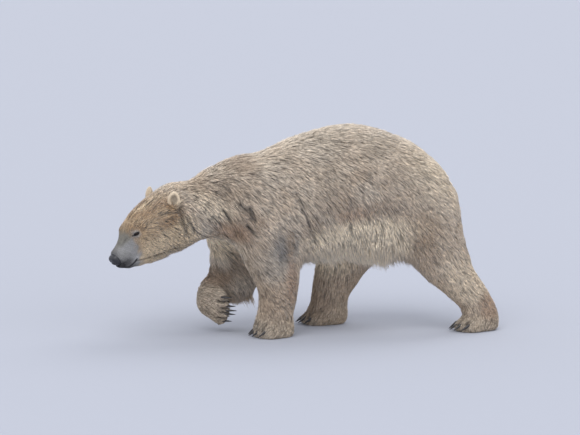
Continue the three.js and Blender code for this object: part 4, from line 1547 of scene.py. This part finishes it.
def make_camera():
    azimuth, elevation = math.radians(CAMERA["azimuth"]), math.radians(CAMERA["elevation"])
    level = math.cos(elevation)
    behind = Vector((math.sin(azimuth) * level, -math.cos(azimuth) * level, math.sin(elevation)))
    lens = bpy.data.cameras.new("camera")
    lens.lens = CAMERA["lens"]
    lens.sensor_width = 36
    lens.clip_end = 500
    camera = new_object("camera", lens)
    camera.location = Vector(CAMERA["aim"]) + behind * CAMERA["distance"]
    camera.rotation_euler = (-behind).to_track_quat("-Z", "Y").to_euler()
    bpy.context.scene.camera = camera
    bpy.context.scene.view_settings.view_transform = "Standard"


# ---------------------------------------------------------------- the bear


def iron(skin, weights):
    """Smooths away the pricks left by drawing the skin in, clear of the face, the toes and the tail."""
    normals = skin.normals()
    level = unit(skin.spread(normals, 10))
    pricked = (normals * level).sum(1) < PRICK
    rest = 1 - step(0.1, 0.5, share_of(weights, "foot", "head", "tail"))
    calm = rest * step(0.02, 0.10, skin.spread(pricked.astype(float), 10))
    skin.relax(30, 1.6 * calm)


def make_skin():
    """The finished skin as arrays, with its normals and how much each point belongs to each node."""
    mesh, belonging = one_skin()
    skin = Surface(mesh)
    strength = mix(1.0, 0.5, step(0.0, 0.15, in_head(skin.points)[:, 0]))
    skin.relax(8, strength)  # the face keeps more of its form
    weights = belonging.at(skin)
    skin.relax(10, strength * (1 - step(0.2, 0.6, share_of(weights, "foot"))))
    depth = worn_at(in_head(skin.points), weights)[0]
    normals = skin.normals()
    # The soles stay on the floor.
    depth = np.where((skin.points[:, 2] < 0.03) & (normals[:, 2] < -0.3), 0.0, depth)
    depth = skin.spread(depth, 8)
    for _ in range(INSET_STEPS):
        skin.swell(-depth / INSET_STEPS)
        skin.relax(1, np.full(len(skin.points), 0.6))
    iron(skin, weights)
    lay_folds(skin)
    skin.swell(-fold_depth(skin.points))
    skin.save()

    skin = Surface(with_ears(skin.mesh))
    weights = belonging.at(skin)
    skin.relax(2, 0.6 * ear_share(in_head(skin.points)))
    sculpt_head(skin)
    sculpt_toes(skin, weights)
    skin.relax(1, np.full(len(skin.points), 0.3))
    # The lowest points go to the floor's level.
    lowest = skin.points[:, 2].min()
    on_floor = 1 - step(0.0, 0.06, skin.points[:, 2])
    skin.points[:, 2] -= lowest * on_floor
    skin.save()
    return skin, skin.normals(), weights


def show_skin(skin, normals, weights):
    """The skin as a piece: darker than the tufts over it, as painted shade deep in the coat, but in its own
    colours where it shows.
    """
    skin.mesh.name = "skin"
    smooth_shaded(skin.mesh)
    colours = markings_and_painted_light(skin.points, normals, weights)
    places = in_head(skin.points)
    bare = np.maximum(step(0.26, 0.33, places[:, 0]), ear_share(places))
    colours = mix(colours * SHADE_UNDER_TUFTS, colours, bare)
    sole = (normals[:, 2] < -0.7) & (skin.points[:, 2] < 0.02)
    colours = mix(colours, DARK_SKIN * 1.5, sole.astype(float))
    colour_points(skin.mesh, colours)
    skin.mesh.materials.clear()
    skin.mesh.materials.append(painted_material("skin", 0.72, 1.25))
    piece = new_object("skin", skin.mesh)
    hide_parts(*FLESH, "ear_left", "ear_right")
    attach(piece, "root")


def make_bear():
    """All of the bear, in the order in which the tufts' random numbers are drawn."""
    skin, normals, weights = make_skin()
    show_skin(skin, normals, weights)
    make_eyes()
    make_nose()
    make_claws()
    ways = coat_ways(skin, normals, weights)
    tuft, rng = grow(skin, normals, weights, ways, coat_fields(skin, normals, weights))
    points, lead = tuft_points(tuft, Ground(skin, normals, ways), rng)
    coat_pieces(tuft, points, tuft_colours(tuft, lead, rng), painted_material("fur", 0.86, 1.12))


make_camera()
make_stage()
make_bear()
